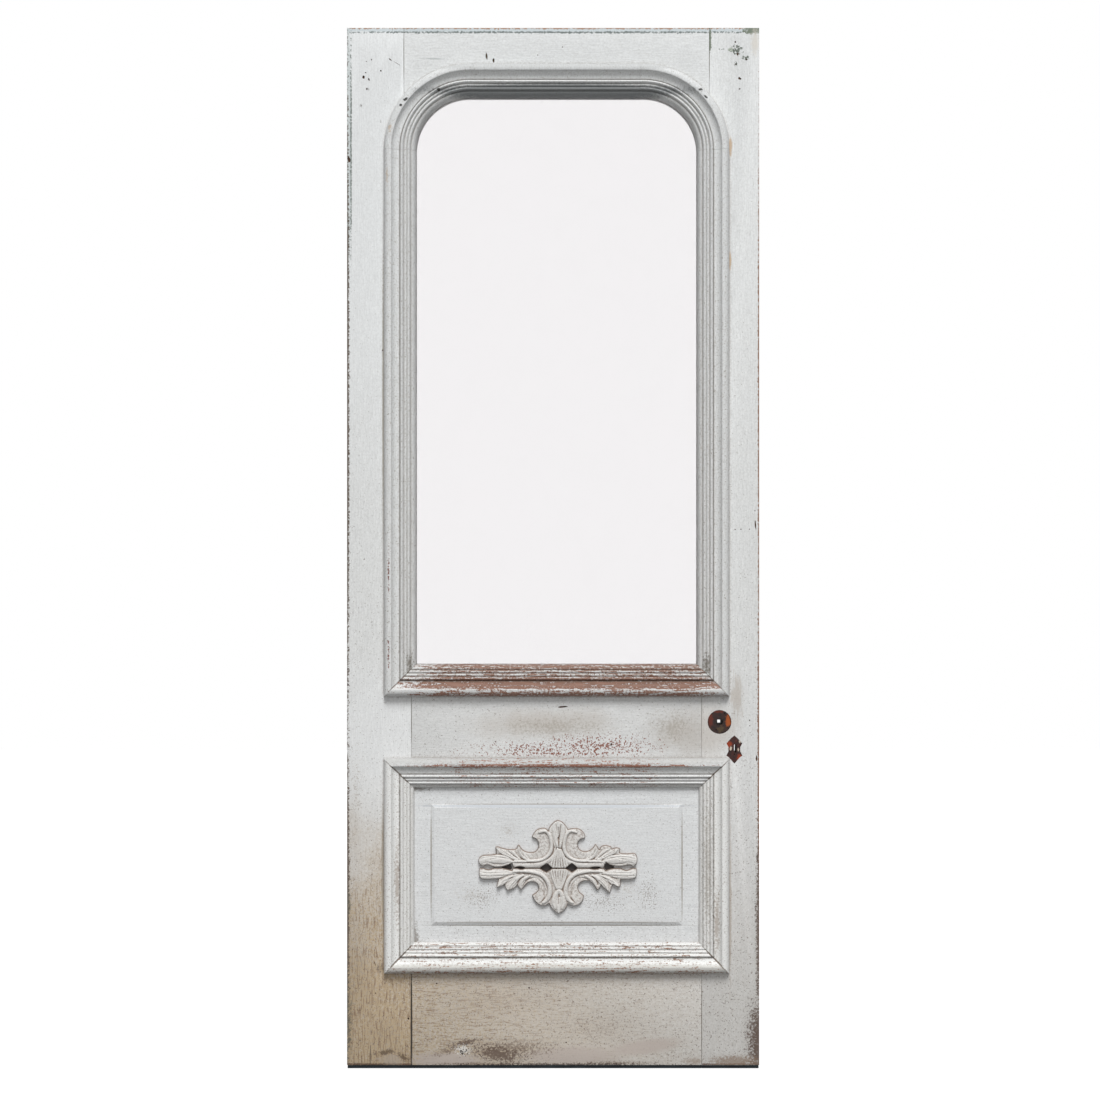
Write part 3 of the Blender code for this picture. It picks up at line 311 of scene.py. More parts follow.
def section_wear(width, middle, full, ends, profile, dark, light):
    """Paint worn off a run of moulding, most where profile says its section is rubbed. It is worn as far
    as full on each side of middle, fades out by ends, and shows wood from dark to light."""
    def wear(tree, x, streaks, mottle):
        across = add(tree, "ShaderNodeAttribute", {}, give="Fac", attribute_name="across")
        share = add(tree, "ShaderNodeMath", {0: across, 1: width}, operation='DIVIDE')
        rubbed = add(tree, "ShaderNodeValToRGB", {0: share}, stops=profile)
        side = add(tree, "ShaderNodeMath", {0: x, 1: middle + EDGE_X}, operation='SUBTRACT')
        off = add(tree, "ShaderNodeMath", {0: side}, operation='ABSOLUTE')
        gate = add(tree, "ShaderNodeMapRange", {"Value": off, "From Min": ends, "From Max": full,
                                                "To Min": -1.1, "To Max": 0.0})
        broken = add(tree, "ShaderNodeMath", {0: streaks, 1: mottle})
        level = add(tree, "ShaderNodeMath", {0: rubbed, 1: gate})
        amount = add(tree, "ShaderNodeMath", {0: broken, 1: 4.5, 2: level}, operation='MULTIPLY_ADD')
        bare = add(tree, "ShaderNodeMapRange", {"Value": amount, "From Min": 4.92, "From Max": 5.06},
                   interpolation_type='SMOOTHSTEP')
        wood = add(tree, "ShaderNodeValToRGB", {0: streaks}, stops=[(0.35, srgb(dark)), (0.65, srgb(light))])
        return bare, wood
    return wear


def carving_grime_and_shade(tree, mottle):
    """Dirt and painted shade in the hollows of the carving, read from how deep each point lies."""
    hollow = add(tree, "ShaderNodeAttribute", {}, give="Fac", attribute_name="hollow")
    uneven = add(tree, "ShaderNodeMath", {0: mottle, 1: 0.8, 2: hollow}, operation='MULTIPLY_ADD')
    return add(tree, "ShaderNodeMapRange", {"Value": uneven, "From Min": 0.56, "From Max": 1.20,
                                            "To Max": 0.85})


def bare_pine(name, dark, light, grain="Z"):
    """Pine that paint has left: dry and matt, with streaks about 1 mm wide of summer and winter wood."""
    material, tree, shader, place = new_finish(name)
    scale = (1.0, 1.0, 0.06) if grain == "Z" else (0.06, 1.0, 1.0)
    streaked = add(tree, "ShaderNodeMapping", {"Vector": place, "Scale": scale})
    streaks = add(tree, "ShaderNodeTexNoise", {"Vector": streaked, "Scale": 420.0, "Detail": 5.0})
    colour = add(tree, "ShaderNodeValToRGB", {0: streaks}, stops=[(0.3, srgb(dark)), (0.7, srgb(light))])
    relief = add(tree, "ShaderNodeBump", {"Height": streaks, "Strength": 0.5, "Distance": 0.0005})
    put(tree, shader, {"Base Color": colour, "Normal": relief, "Roughness": 0.8})
    return material


def stained_seat(name, stains, dark, light):
    """Dark varnish, rust and scraps of putty, left on the wood under a piece of ironmongery, in blotches
    about 3 mm wide and half glossy. stains are (hex, most share, patches)."""
    material, tree, shader, place = new_finish(name)
    blotch = add(tree, "ShaderNodeTexNoise", {"Vector": place, "Scale": 150.0, "Detail": 6.0,
                                              "Roughness": 0.7})
    colour = add(tree, "ShaderNodeValToRGB", {0: blotch}, stops=[(0.38, srgb(dark)), (0.66, srgb(light))])
    for code, most, patches in stains:
        near = nearness(tree, place, patches)
        uneven = add(tree, "ShaderNodeMath", {0: blotch, 1: 1.4, 2: near}, operation='MULTIPLY_ADD')
        share = add(tree, "ShaderNodeMapRange", {"Value": uneven, "From Min": 0.95, "From Max": 1.35,
                                                 "To Max": most}, interpolation_type='SMOOTHSTEP')
        colour = add(tree, "ShaderNodeMix", {0: share, 6: colour, 7: srgb(code)}, give=2, data_type='RGBA')
    relief = add(tree, "ShaderNodeBump", {"Height": blotch, "Strength": 0.6, "Distance": 0.0008})
    rough = add(tree, "ShaderNodeMapRange", {"Value": blotch, "To Min": 0.35, "To Max": 0.7})
    put(tree, shader, {"Base Color": colour, "Normal": relief, "Roughness": rough})
    return material


def window_glass():
    """Drawn window glass: clear, with a faint grey of dust."""
    material, tree, shader, _ = new_finish("drawn_window_glass")
    put(tree, shader, {"Base Color": srgb("EDEBEC"), "Transmission Weight": 1.0, "Roughness": 0.0,
                       "IOR": 1.5})
    return material


def lock_iron():
    """Malleable iron of an old lock: dull grey, browned by spots of rust about 2 mm wide."""
    material, tree, shader, place = new_finish("rusted_lock_iron")
    rust = add(tree, "ShaderNodeTexNoise", {"Vector": place, "Scale": 260.0, "Detail": 6.0, "Roughness": 0.7})
    colour = add(tree, "ShaderNodeValToRGB", {0: rust}, stops=[
        (0.35, srgb("4B4C4C")), (0.52, srgb("6A6C6C")), (0.62, srgb("5A4034")), (0.75, srgb("3E2A22"))])
    rough = add(tree, "ShaderNodeMapRange", {"Value": rust, "To Min": 0.35, "To Max": 0.8})
    put(tree, shader, {"Base Color": colour, "Roughness": rough, "Metallic": 0.85})
    return material


# Modelling

def only(piece):
    """Make one piece the only one selected, and the active one."""
    bpy.ops.object.select_all(action='DESELECT')
    piece.select_set(True)
    bpy.context.view_layer.objects.active = piece


def settle(piece, smooth=35):
    """Put a finished piece's place into its mesh and shade it."""
    only(piece)
    bpy.ops.object.transform_apply(location=True, rotation=True, scale=True)
    bpy.ops.object.shade_smooth_by_angle(angle=math.radians(smooth))
    return piece


def dress(piece, finishes):
    """Give a piece its finishes, in place of any it has."""
    piece.data.materials.clear()
    for finish in finishes:
        piece.data.materials.append(finish)


def hand_over(piece, nodes):
    """Say what a piece stands for."""
    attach(piece, "root")
    if nodes:
        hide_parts(*nodes)
    return piece


def working_copy(node, name):
    """A copy of a solid to work on, with its facets made one."""
    piece = bpy.data.objects.new(name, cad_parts[node].data.copy())
    bpy.context.scene.collection.objects.link(piece)
    only(piece)
    bpy.ops.object.mode_set(mode='EDIT')
    bpy.ops.mesh.customdata_custom_splitnormals_clear()
    bpy.ops.mesh.select_all(action='SELECT')
    bpy.ops.mesh.remove_doubles(threshold=0.00001)
    bpy.ops.mesh.dissolve_limited(angle_limit=math.radians(0.2))
    bpy.ops.object.mode_set(mode='OBJECT')
    return piece


def soften_arrises(piece, width, planes):
    """Take the sharpness off a member's long arrises, as planing, paint and wear do."""
    only(piece)
    bpy.ops.object.mode_set(mode='EDIT')
    bpy.ops.mesh.select_mode(type='EDGE')
    bpy.ops.mesh.select_all(action='DESELECT')
    mesh = bmesh.from_edit_mesh(piece.data)
    for edge in mesh.edges:
        flat = any(all(abs(v.co.y - plane) < TINY for v in edge.verts) for plane in planes)
        sharp = len(edge.link_faces) == 2 and edge.calc_face_angle() > 0.9
        if flat and sharp and edge.calc_length() > SHORT_EDGE:
            edge.select_set(True)
    bmesh.update_edit_mesh(piece.data)
    bpy.ops.mesh.bevel(offset=width, segments=2, affect='EDGES', clamp_overlap=True)
    bpy.ops.object.mode_set(mode='OBJECT')


def dent_tool(x, z, wide, tall, deep, lean, finish, chance):
    """A pointed lump in the shape of one dent, with its middle in the door's face."""
    bpy.ops.object.select_all(action='DESELECT')
    bpy.ops.mesh.primitive_uv_sphere_add(segments=9, ring_count=6, radius=1.0, location=at(x, z))
    lump = bpy.context.active_object
    bpy.ops.transform.resize(value=(wide / 2, deep, tall / 2))
    bpy.ops.transform.rotate(value=math.radians(lean), orient_axis='Y', center_override=at(x, z))
    bpy.ops.object.transform_apply(location=True, rotation=True, scale=True)
    for vertex in lump.data.vertices:
        out = vertex.co - at(x, z)
        vertex.co = at(x, z) + out * chance.uniform(0.75, 1.1)
    lump.data.materials.append(finish)
    return lump


def cut_dents(piece, dents, finish, seed):
    """Nail holes, knocks and gouges: (x, z, width, height, depth, lean in degrees), cut in the face."""
    chance = random.Random(seed)
    lumps = [dent_tool(*dent, finish, chance) for dent in dents]
    for lump in lumps:
        cut = piece.modifiers.new("dent", 'BOOLEAN')
        cut.operation = 'DIFFERENCE'
        cut.solver = 'EXACT'
        cut.material_mode = 'TRANSFER'
        cut.object = lump
        only(piece)
        bpy.ops.object.modifier_apply(modifier=cut.name)
    for lump in lumps:
        bpy.data.objects.remove(lump)


def swept_section(name, section, corner, inward):
    """A face in the shape of a moulding's section, standing across its run.
    section is (distance in from the outer edge, height over the door's face)."""
    bpy.ops.object.select_all(action='DESELECT')
    bpy.ops.mesh.primitive_circle_add(vertices=len(section), radius=0.01, fill_type='NGON')
    piece = bpy.context.active_object
    piece.name = piece.data.name = name
    for vertex, (across, height) in zip(piece.data.vertices, section):
        vertex.co = corner + inward * across + Vector((0.0, -height, 0.0))
    return piece


def close_and_turn_out(piece):
    """Fill open ends and make every face look outwards."""
    only(piece)
    bpy.ops.object.mode_set(mode='EDIT')
    bpy.ops.mesh.select_mode(type='EDGE')
    bpy.ops.mesh.select_all(action='SELECT')
    bpy.ops.mesh.remove_doubles(threshold=0.000005)
    bpy.ops.mesh.select_all(action='DESELECT')
    bpy.ops.mesh.select_non_manifold()
    mesh = bmesh.from_edit_mesh(piece.data)
    if any(edge.select for edge in mesh.edges):
        bpy.ops.mesh.fill_holes(sides=0)
    bpy.ops.mesh.select_all(action='SELECT')
    bpy.ops.mesh.normals_make_consistent(inside=False)
    bpy.ops.object.mode_set(mode='OBJECT')


def straight_run(name, section, corner, inward, run, length, mitres):
    """A length of moulding. mitres are (point, direction) of the cuts; what lies past them goes."""
    piece = swept_section(name, section, corner, inward)
    bpy.ops.object.mode_set(mode='EDIT')
    bpy.ops.mesh.select_all(action='SELECT')
    bpy.ops.mesh.extrude_region_move(TRANSFORM_OT_translate={"value": run * length})
    for point, direction in mitres:
        bpy.ops.mesh.select_all(action='SELECT')
        bpy.ops.mesh.bisect(plane_co=point, plane_no=direction, use_fill=True, clear_outer=True)
    bpy.ops.object.mode_set(mode='OBJECT')
    close_and_turn_out(piece)
    return piece


def round_corner(name, section, corner, inward, centre, turn, run, overrun):
    """A quarter round of moulding, with a short straight end."""
    piece = swept_section(name, section, corner, inward)
    bpy.ops.object.mode_set(mode='EDIT')
    bpy.ops.mesh.select_all(action='SELECT')
    bpy.ops.mesh.spin(steps=36, angle=turn, center=centre, axis=(0.0, 1.0, 0.0))
    bpy.ops.mesh.extrude_region_move(TRANSFORM_OT_translate={"value": run * overrun})
    bpy.ops.object.mode_set(mode='OBJECT')
    close_and_turn_out(piece)
    return piece


def curve(start, bend, end, steps):
    """Points from just after start to end, on a curve drawn towards bend."""
    points = []
    for i in range(1, steps + 1):
        t = i / steps
        points.append(tuple((1 - t) ** 2 * a + 2 * t * (1 - t) * b + t ** 2 * c
                            for a, b, c in zip(start, bend, end)))
    return points


def swelling(start, width, drop, swell, steps):
    """A bead or reed across a width."""
    points = []
    for i in range(1, steps + 1):
        t = i / steps
        points.append((start[0] + width * t, start[1] - drop * t + swell * math.sin(math.pi * t)))
    return points


def bolection(band, lap, seat):
    """The moulding's section: edge, roll, crest, cove, bead, two reeds, quirk, band and tongue.
    It is 5 mm high at its edge and 22 mm at its crest."""
    roll, crest, cove, bead, reed, quirk = 0.0150, 0.0025, 0.0175, 0.0095, 0.0072, 0.0025
    edge_height, crest_height = 0.005, 0.022
    points = [(0.0, JOINT_GAP), (0.0, edge_height)]
    points += curve(points[-1], (roll * 0.10, crest_height), (roll, crest_height), 12)
    points += curve((roll, crest_height), (roll + crest * 0.7, crest_height), (roll + crest, 0.0212), 4)
    start = points[-1]
    points += curve(start, (start[0] + cove * 0.25, 0.0105), (start[0] + cove, 0.0095), 12)
    points.append((points[-1][0] + 0.0004, 0.0070))
    points += swelling(points[-1], bead - 0.0004, 0.0, 0.0060, 10)
    for _ in range(2):
        points += swelling(points[-1], reed, 0.0016, 0.0028, 8)
    here = points[-1]
    points += [(here[0] + quirk * 0.3, here[1] - quirk), (here[0] + quirk, here[1] - quirk)]
    start = (here[0] + quirk, here[1] - quirk * 0.3)
    points.append(start)
    inner = start[0] + band
    points += curve(start, (start[0] + band * 0.85, start[1] - quirk), (inner, 0.0025 - seat), 8)
    points += [(inner, JOINT_GAP - seat), (lap + TONGUE, JOINT_GAP - seat), (lap + TONGUE, JOINT_GAP)]
    return points


def plain_bead(lap, width, seat, round_size):
    """The back bead's section: square where it seats, rounded towards the glass or panel."""
    outer = lap + TONGUE
    inner = lap + width
    points = [(outer, -seat - JOINT_GAP), (inner, -seat - JOINT_GAP), (inner, round_size - DOOR_THICKNESS)]
    points += curve(points[-1], (inner, -DOOR_THICKNESS), (inner - round_size, -DOOR_THICKNESS), 8)
    return points + [(outer, -DOOR_THICKNESS)]


RIGHT = Vector((1.0, 0.0, 0.0))
UP = Vector((0.0, 0.0, 1.0))


def frame_of_runs(prefix, node, section, box, finish, special, round_top):
    """Mouldings round an opening: mitred runs, and above them either two round corners or mitres.
    special holds the finishes of runs that differ from the rest."""
    left, right, bottom, top = box
    wide = right - left
    tall = top - bottom
    gap = JOINT_GAP * math.sqrt(0.5)
    low_left = (at(left, bottom), (RIGHT + UP).normalized())
    low_right = (at(right, bottom), (UP - RIGHT).normalized())
    high_left = (at(left, top), (RIGHT - UP).normalized())
    high_right = (at(right, top), (-RIGHT - UP).normalized())

    def cut(corner, away):
        """A mitre through a corner, less half the joint's gap, that removes what lies on the away side."""
        point, diagonal = corner
        normal = Vector((diagonal.z, 0.0, -diagonal.x))
        if normal.dot(away) < 0:
            normal = -normal
        return point - normal * gap / 2, normal

    pieces = {}
    height = SPRING - bottom - JOINT_GAP / 2 if round_top else tall
    for side, x, inward, low, high in (("left", left, RIGHT, low_left, high_left),
                                       ("right", right, -RIGHT, low_right, high_right)):
        mitres = [cut(low, -UP)] if round_top else [cut(low, -UP), cut(high, UP)]
        pieces[side] = straight_run(f"{prefix}_{side}", section, at(x, bottom), inward, UP, height, mitres)
    sides = [cut(low_left, -RIGHT), cut(low_right, RIGHT)]
    lower = "sill" if round_top else "bottom"
    pieces[lower] = straight_run(f"{prefix}_{lower}", section, at(left, bottom), UP, RIGHT, wide, sides)
    if round_top:
        for side, x, inward, way in (("left", left, RIGHT, 1), ("right", right, -RIGHT, -1)):
            centre = at(x + way * MOULDING_RADIUS, SPRING)
            pieces[f"arc_{side}"] = round_corner(
                f"{prefix}_arc_{side}", section, at(x, SPRING) + UP * JOINT_GAP / 2, inward,
                centre + UP * JOINT_GAP / 2, -way * math.pi / 2, way * RIGHT, CORNER_OVERRUN - JOINT_GAP / 2)
        inset = MOULDING_RADIUS + CORNER_OVERRUN + JOINT_GAP / 2
        pieces["head"] = straight_run(f"{prefix}_head", section, at(left + inset, top), -UP, RIGHT,
                                      wide - 2 * inset, [])
    else:
        sides = [cut(high_left, -RIGHT), cut(high_right, RIGHT)]
        pieces["top"] = straight_run(f"{prefix}_top", section, at(left, top), -UP, RIGHT, wide, sides)
    for part, piece in pieces.items():
        mark_across(piece, box, round_top)
        settle(piece, 40)
        dress(piece, [special.get(part, finish)])
        hand_over(piece, [f"{node}_{part}"])
    return pieces


def mark_across(piece, box, round_top):
    """Keep on each point how far in from the moulding's outer edge it lies."""
    left, right, bottom, top = box
    values = []
    for vertex in piece.data.vertices:
        x = vertex.co.x - EDGE_X
        z = vertex.co.z - FOOT_Z
        inward = min(x - left, right - x, z - bottom, top - z)
        if round_top and z > SPRING:
            centre = left + MOULDING_RADIUS if x < (left + right) / 2 else right - MOULDING_RADIUS
            if abs(x - (left + right) / 2) > abs(centre - (left + right) / 2):
                inward = MOULDING_RADIUS - math.hypot(x - centre, z - SPRING)
        values.append(inward)
    kept = piece.data.attributes.new("across", 'FLOAT', 'POINT')
    kept.data.foreach_set("value", values)


# Carving. The ornament is drawn in units of 0.2688 mm: x to the right, y downwards, with the middle
# of the joint at (MIDDLE_U, JOINT_V). A point with a third number is a sharp corner.

DRAWN = 0.0002688
MIDDLE_U = 765
JOINT_V = 513

# The grid's pitch in metres, its margin round the drawing, and the drawing's left and right ends
PITCH = 0.0009
MARGIN = 8
DRAWN_LEFT = 104
DRAWN_RIGHT = 1430

# Heights, as shares of the relief: the ground between the forms, their foot, the highest crest and the
# lowest cut, then the height under which it is rough from the gouge, and that of the outer edge
GROUND = 0.60
FORM_FOOT = 0.46
CREST = 0.98
LOWEST = 0.16
ROUGH_UNDER = 0.71
EDGE_HEIGHT = 0.34

UPPER_EDGE = [
    (150, 498), (128, 488), (113, 468), (111, 445), (121, 424), (145, 409), (180, 404), (220, 403),
    (259, 396, 1), (256, 368), (250, 348), (257, 335, 1), (276, 337), (305, 347), (340, 355), (380, 359),
    (410, 358), (426, 348, 1), (431, 332), (443, 318, 1), (453, 332), (466, 351), (486, 368), (512, 379),
    (545, 384), (572, 379), (592, 364), (605, 340), (607, 312), (599, 288), (583, 271), (564, 263, 1),
    (552, 252, 1), (560, 236), (573, 216), (590, 198), (615, 186), (645, 182), (670, 188), (687, 205, 1),
    (693, 182), (707, 160), (728, 138), (748, 124), (766, 118), (792, 126), (815, 143), (834, 165),
    (851, 193, 1), (872, 188), (905, 184), (938, 188), (962, 202), (980, 222), (991, 246), (991, 264, 1),
    (972, 270), (948, 280), (934, 298), (930, 324), (938, 348), (956, 366), (985, 376), (1015, 372),
    (1040, 358), (1060, 338), (1078, 316, 1), (1089, 330), (1099, 348), (1108, 361, 1), (1117, 344),
    (1130, 331), (1150, 325), (1172, 327), (1204, 334, 1), (1212, 356, 1), (1228, 349), (1252, 344),
    (1281, 352, 1), (1277, 368), (1273, 385, 1), (1300, 393), (1335, 394), (1370, 391), (1390, 389),
    (1408, 397), (1419, 418), (1422, 448), (1416, 475), (1403, 492), (1390, 500, 1), (1376, 493),
    (1358, 488), (1330, 491), (1300, 496), (1262, 497), (1225, 493), (1195, 485), (1163, 466, 1),
    (1153, 482), (1149, 500), (1146, 516, 1), (1120, 516, 1), (1112, 505), (1080, 503), (1048, 506),
    (1016, 516, 1), (930, 516, 1), (912, 498), (895, 483), (881, 474, 1), (866, 485), (846, 500),
    (824, 516, 1), (724, 516, 1), (706, 500), (688, 484), (672, 475, 1), (655, 487), (636, 500),
    (612, 516, 1), (508, 516, 1), (480, 504), (450, 500), (425, 504), (400, 516, 1), (395, 505), (392, 488),
    (387, 469, 1), (372, 478), (345, 491), (310, 500), (280, 504), (245, 504), (218, 495), (190, 488),
    (168, 490)]
LOWER_EDGE = [
    (122, 510, 1), (148, 510, 1), (170, 521), (195, 525), (220, 520), (242, 510, 1), (296, 510, 1),
    (330, 518), (360, 525), (386, 531, 1), (392, 520), (396, 510, 1), (425, 510, 1), (450, 519), (475, 520),
    (502, 510, 1), (610, 510, 1), (628, 522), (650, 535), (672, 547, 1), (694, 533), (712, 520),
    (726, 510, 1), (824, 510, 1), (842, 521), (862, 533), (881, 547, 1), (902, 534), (918, 522),
    (930, 510, 1), (1010, 510, 1), (1050, 519), (1085, 519), (1118, 510, 1), (1142, 510, 1), (1150, 520),
    (1160, 534, 1), (1190, 523), (1230, 516), (1270, 515), (1300, 521), (1325, 530), (1345, 528),
    (1365, 520), (1386, 510, 1), (1408, 512), (1417, 532), (1418, 560), (1411, 585), (1392, 600),
    (1350, 607), (1310, 608), (1285, 608, 1), (1281, 625), (1285, 650), (1278, 670, 1), (1258, 665),
    (1238, 657), (1219, 646, 1), (1212, 665), (1205, 690), (1194, 720, 1), (1176, 706), (1158, 690),
    (1140, 670), (1124, 650, 1), (1115, 668), (1105, 684), (1091, 695, 1), (1080, 680), (1070, 660),
    (1052, 639), (1028, 623), (1000, 617), (970, 622), (945, 640), (932, 665), (935, 690), (945, 710),
    (962, 726), (980, 740, 1), (980, 757), (972, 778), (955, 800), (930, 817), (902, 825), (872, 821),
    (849, 806, 1), (838, 835), (820, 856), (797, 875), (774, 886), (752, 878), (730, 860), (710, 835),
    (694, 804, 1), (672, 818), (645, 824), (618, 818), (592, 800), (570, 775), (558, 752), (554, 736, 1),
    (568, 726), (590, 712), (604, 692), (608, 668), (598, 645), (578, 631), (550, 625), (522, 632),
    (500, 650), (482, 672), (464, 691, 1), (448, 680), (438, 665), (432, 651, 1), (418, 668), (395, 684),
    (368, 696), (348, 692), (335, 678), (330, 664), (327, 649, 1), (312, 658), (288, 665), (265, 674, 1),
    (259, 662, 1), (264, 645), (271, 622), (276, 605, 1), (250, 603), (215, 606), (175, 607), (142, 603),
    (122, 588), (115, 565), (116, 535)]

# Swelling forms: points along the middle, half widths there, and how high they stand
UPPER_FORMS = [
    ([(612, 215), (660, 205), (695, 235), (712, 290), (714, 345), (695, 395), (655, 432), (600, 450),
      (520, 452), (400, 456)], [10, 14, 17, 17, 17, 17, 17, 16, 15, 12], 0.98),
    ([(398, 480), (470, 482), (560, 482), (640, 470), (700, 440), (735, 395), (742, 350)],
     [24, 26, 26, 26, 20, 12, 6], 0.82),
    ([(562, 248), (592, 268), (615, 300), (616, 340), (596, 376), (555, 398), (510, 396), (470, 372)],
     [9, 12, 10, 9, 9, 10, 10, 8], 0.62),
    ([(600, 225), (640, 270), (655, 325), (640, 380), (590, 420), (520, 425), (470, 405)],
     [16, 24, 26, 26, 24, 22, 14], 0.5),
    ([(443, 322), (450, 350), (468, 390), (500, 430), (540, 455)], [5, 17, 26, 24, 12], 0.84),
    ([(256, 338), (285, 360), (330, 392), (380, 420), (430, 440)], [5, 20, 26, 24, 14], 0.86),
    ([(345, 357), (385, 378), (420, 405), (450, 432)], [8, 22, 24, 14], 0.76),
    ([(116, 452), (160, 444), (220, 438), (290, 440), (350, 448), (398, 462)],
     [34, 42, 40, 42, 38, 24], 0.84),
]
LOWER_FORMS = [
    ([(400, 540), (470, 535), (550, 542), (620, 560), (668, 600), (694, 655), (700, 715), (680, 765),
      (645, 795)], [13, 15, 17, 19, 20, 20, 20, 20, 14], 0.98),
    ([(400, 560), (450, 572), (500, 580), (560, 588), (620, 610), (655, 655), (655, 705)],
     [10, 13, 12, 10, 9, 9, 7], 0.7),
    ([(462, 686), (485, 655), (520, 622), (560, 610), (598, 622), (622, 655), (622, 695), (600, 725),
      (568, 742)], [5, 10, 11, 11, 11, 12, 13, 14, 10], 0.52),
    ([(640, 720), (625, 755), (625, 790)], [26, 32, 22], 0.66),
    ([(464, 687), (462, 655), (470, 620), (500, 590), (540, 572)], [4, 16, 22, 18, 9], 0.86),
    ([(352, 690), (370, 660), (400, 625), (440, 592), (480, 570)], [10, 24, 26, 20, 10], 0.9),
    ([(264, 668), (290, 645), (330, 615), (375, 590), (430, 572)], [5, 18, 24, 20, 10], 0.88),
    ([(118, 560), (160, 566), (220, 566), (290, 562), (350, 556), (410, 548)],
     [34, 40, 38, 36, 30, 20], 0.84),
]
UPPER_MIDDLE = [
    ([(766, 345), (752, 290), (740, 235), (735, 180), (742, 145)], [10, 17, 24, 24, 10], 0.96),
    ([(784, 345), (792, 290), (803, 235), (806, 185), (796, 145)], [10, 17, 24, 24, 10], 0.96),
    ([(768, 250), (768, 200), (768, 150), (767, 128)], [8, 18, 26, 10], 0.9),
    ([(748, 345), (730, 290), (712, 240), (706, 190)], [5, 12, 14, 7], 0.8),
    ([(800, 345), (818, 290), (832, 240), (838, 195)], [5, 12, 14, 7], 0.8),
]
LOWER_MIDDLE = [
    ([(774, 690), (748, 735), (738, 790), (745, 840)], [14, 24, 30, 12], 0.92),
    ([(778, 690), (802, 735), (810, 790), (802, 840)], [14, 24, 30, 12], 0.92),
    ([(774, 760), (773, 820), (773, 875)], [14, 26, 10], 0.9),
]
for end, bow in ((702, -16), (727, -11), (752, -5), (777, 0), (802, 5), (827, 11), (850, 16)):
    middle = 775 + (end - 775) * 0.45 + bow
    UPPER_MIDDLE.append(([(775 + bow, 352), (middle, 430), (end, 516)], [5, 9, 12], 0.90))
    LOWER_MIDDLE.append(([(775 + bow, 690), (middle, 600), (end, 510)], [5, 9, 12], 0.88))

# Cut lines: points, half width and depth
UPPER_CUTS = [
    ([(400, 468), (480, 469), (560, 468), (640, 455), (700, 415), (728, 365), (726, 300),
      (706, 240)], 5, 0.12),
    ([(258, 400), (300, 398), (350, 415), (400, 446)], 5, 0.26),
    ([(405, 362), (425, 392), (455, 425), (500, 448)], 5, 0.3),
    ([(466, 362), (478, 395), (510, 430)], 4, 0.22),
    ([(150, 470), (185, 462), (240, 474), (310, 478), (375, 462)], 4, 0.2),
    ([(205, 440), (280, 428), (340, 432), (395, 448)], 4, 0.18),
    ([(280, 350), (330, 385), (385, 418)], 4, 0.3), ([(445, 335), (458, 372), (486, 415)], 3, 0.34),
    ([(352, 366), (385, 392), (425, 424)], 3, 0.28),
    ([(135, 432), (190, 420), (260, 418), (330, 426)], 3, 0.24),
    ([(268, 345), (300, 378), (345, 402)], 3, 0.24),
    ([(512, 462), (570, 462), (630, 452), (676, 428)], 3, 0.22),
]
LOWER_CUTS = [
    ([(276, 603), (310, 588), (350, 572), (400, 562)], 5, 0.26),
    ([(328, 648), (350, 620), (385, 592), (430, 572)], 5, 0.3),
    ([(433, 652), (440, 620), (465, 592), (510, 576)], 5, 0.3),
    ([(480, 660), (512, 612), (555, 592), (600, 600), (640, 635), (656, 680), (650, 730)], 6, 0.34),
    ([(140, 545), (200, 552), (280, 548), (360, 545)], 4, 0.2),
    ([(400, 552), (470, 548), (540, 556), (610, 576), (655, 615), (680, 670)], 4, 0.18),
    ([(620, 800), (640, 778), (655, 758)], 5, 0.24), ([(290, 655), (330, 622), (380, 592)], 4, 0.16),
    ([(365, 688), (385, 655), (420, 615)], 4, 0.3), ([(466, 676), (472, 640), (488, 612)], 3, 0.3),
    ([(300, 632), (345, 606), (395, 584)], 3, 0.26),
    ([(135, 572), (200, 578), (280, 574), (350, 568)], 3, 0.24),
    ([(345, 672), (375, 636), (412, 600)], 3, 0.24),
]
UPPER_MIDDLE_CUTS = [
    ([(770, 175), (771, 215), (773, 268)], 4, 0.4), ([(738, 190), (748, 240), (760, 300)], 3, 0.2),
    ([(808, 190), (800, 240), (788, 300)], 3, 0.2), ([(752, 150), (760, 200), (766, 250)], 3, 0.16),
    ([(790, 150), (784, 200), (778, 250)], 3, 0.16), ([(766, 342), (778, 347), (792, 351)], 6, 0.42),
]
LOWER_MIDDLE_CUTS = [
    ([(750, 688), (775, 684), (800, 688)], 5, 0.24), ([(770, 752), (771, 780), (770, 806)], 4, 0.36),
    ([(752, 740), (746, 790), (752, 830)], 3, 0.16), ([(796, 740), (802, 790), (794, 830)], 3, 0.16),
]


def mirrored(lines):
    """The same lines on the other side of the ornament's middle."""
    return [([(2 * MIDDLE_U - x, y) for x, y in line[0]], *line[1:]) for line in lines]


def flowing(points, closed, steps):
    """A smooth line through points, with a break in its flow at each corner."""
    count = len(points)
    line = []
    for i in range(count if closed else count - 1):
        here, there = points[i], points[(i + 1) % count]
        before = here if len(here) > 2 or (not closed and i == 0) else points[i - 1]
        after = there if len(there) > 2 or (not closed and i == count - 2) else points[(i + 2) % count]
        for k in range(steps):
            t = k / steps
            line.append(tuple(
                b + 0.5 * t * (c - a + t * (2 * a - 5 * b + 4 * c - d + t * (3 * (b - c) + d - a)))
                for a, b, c, d in zip(before[:2], here[:2], there[:2], after[:2])))
    if not closed:
        line.append(points[-1][:2])
    return line


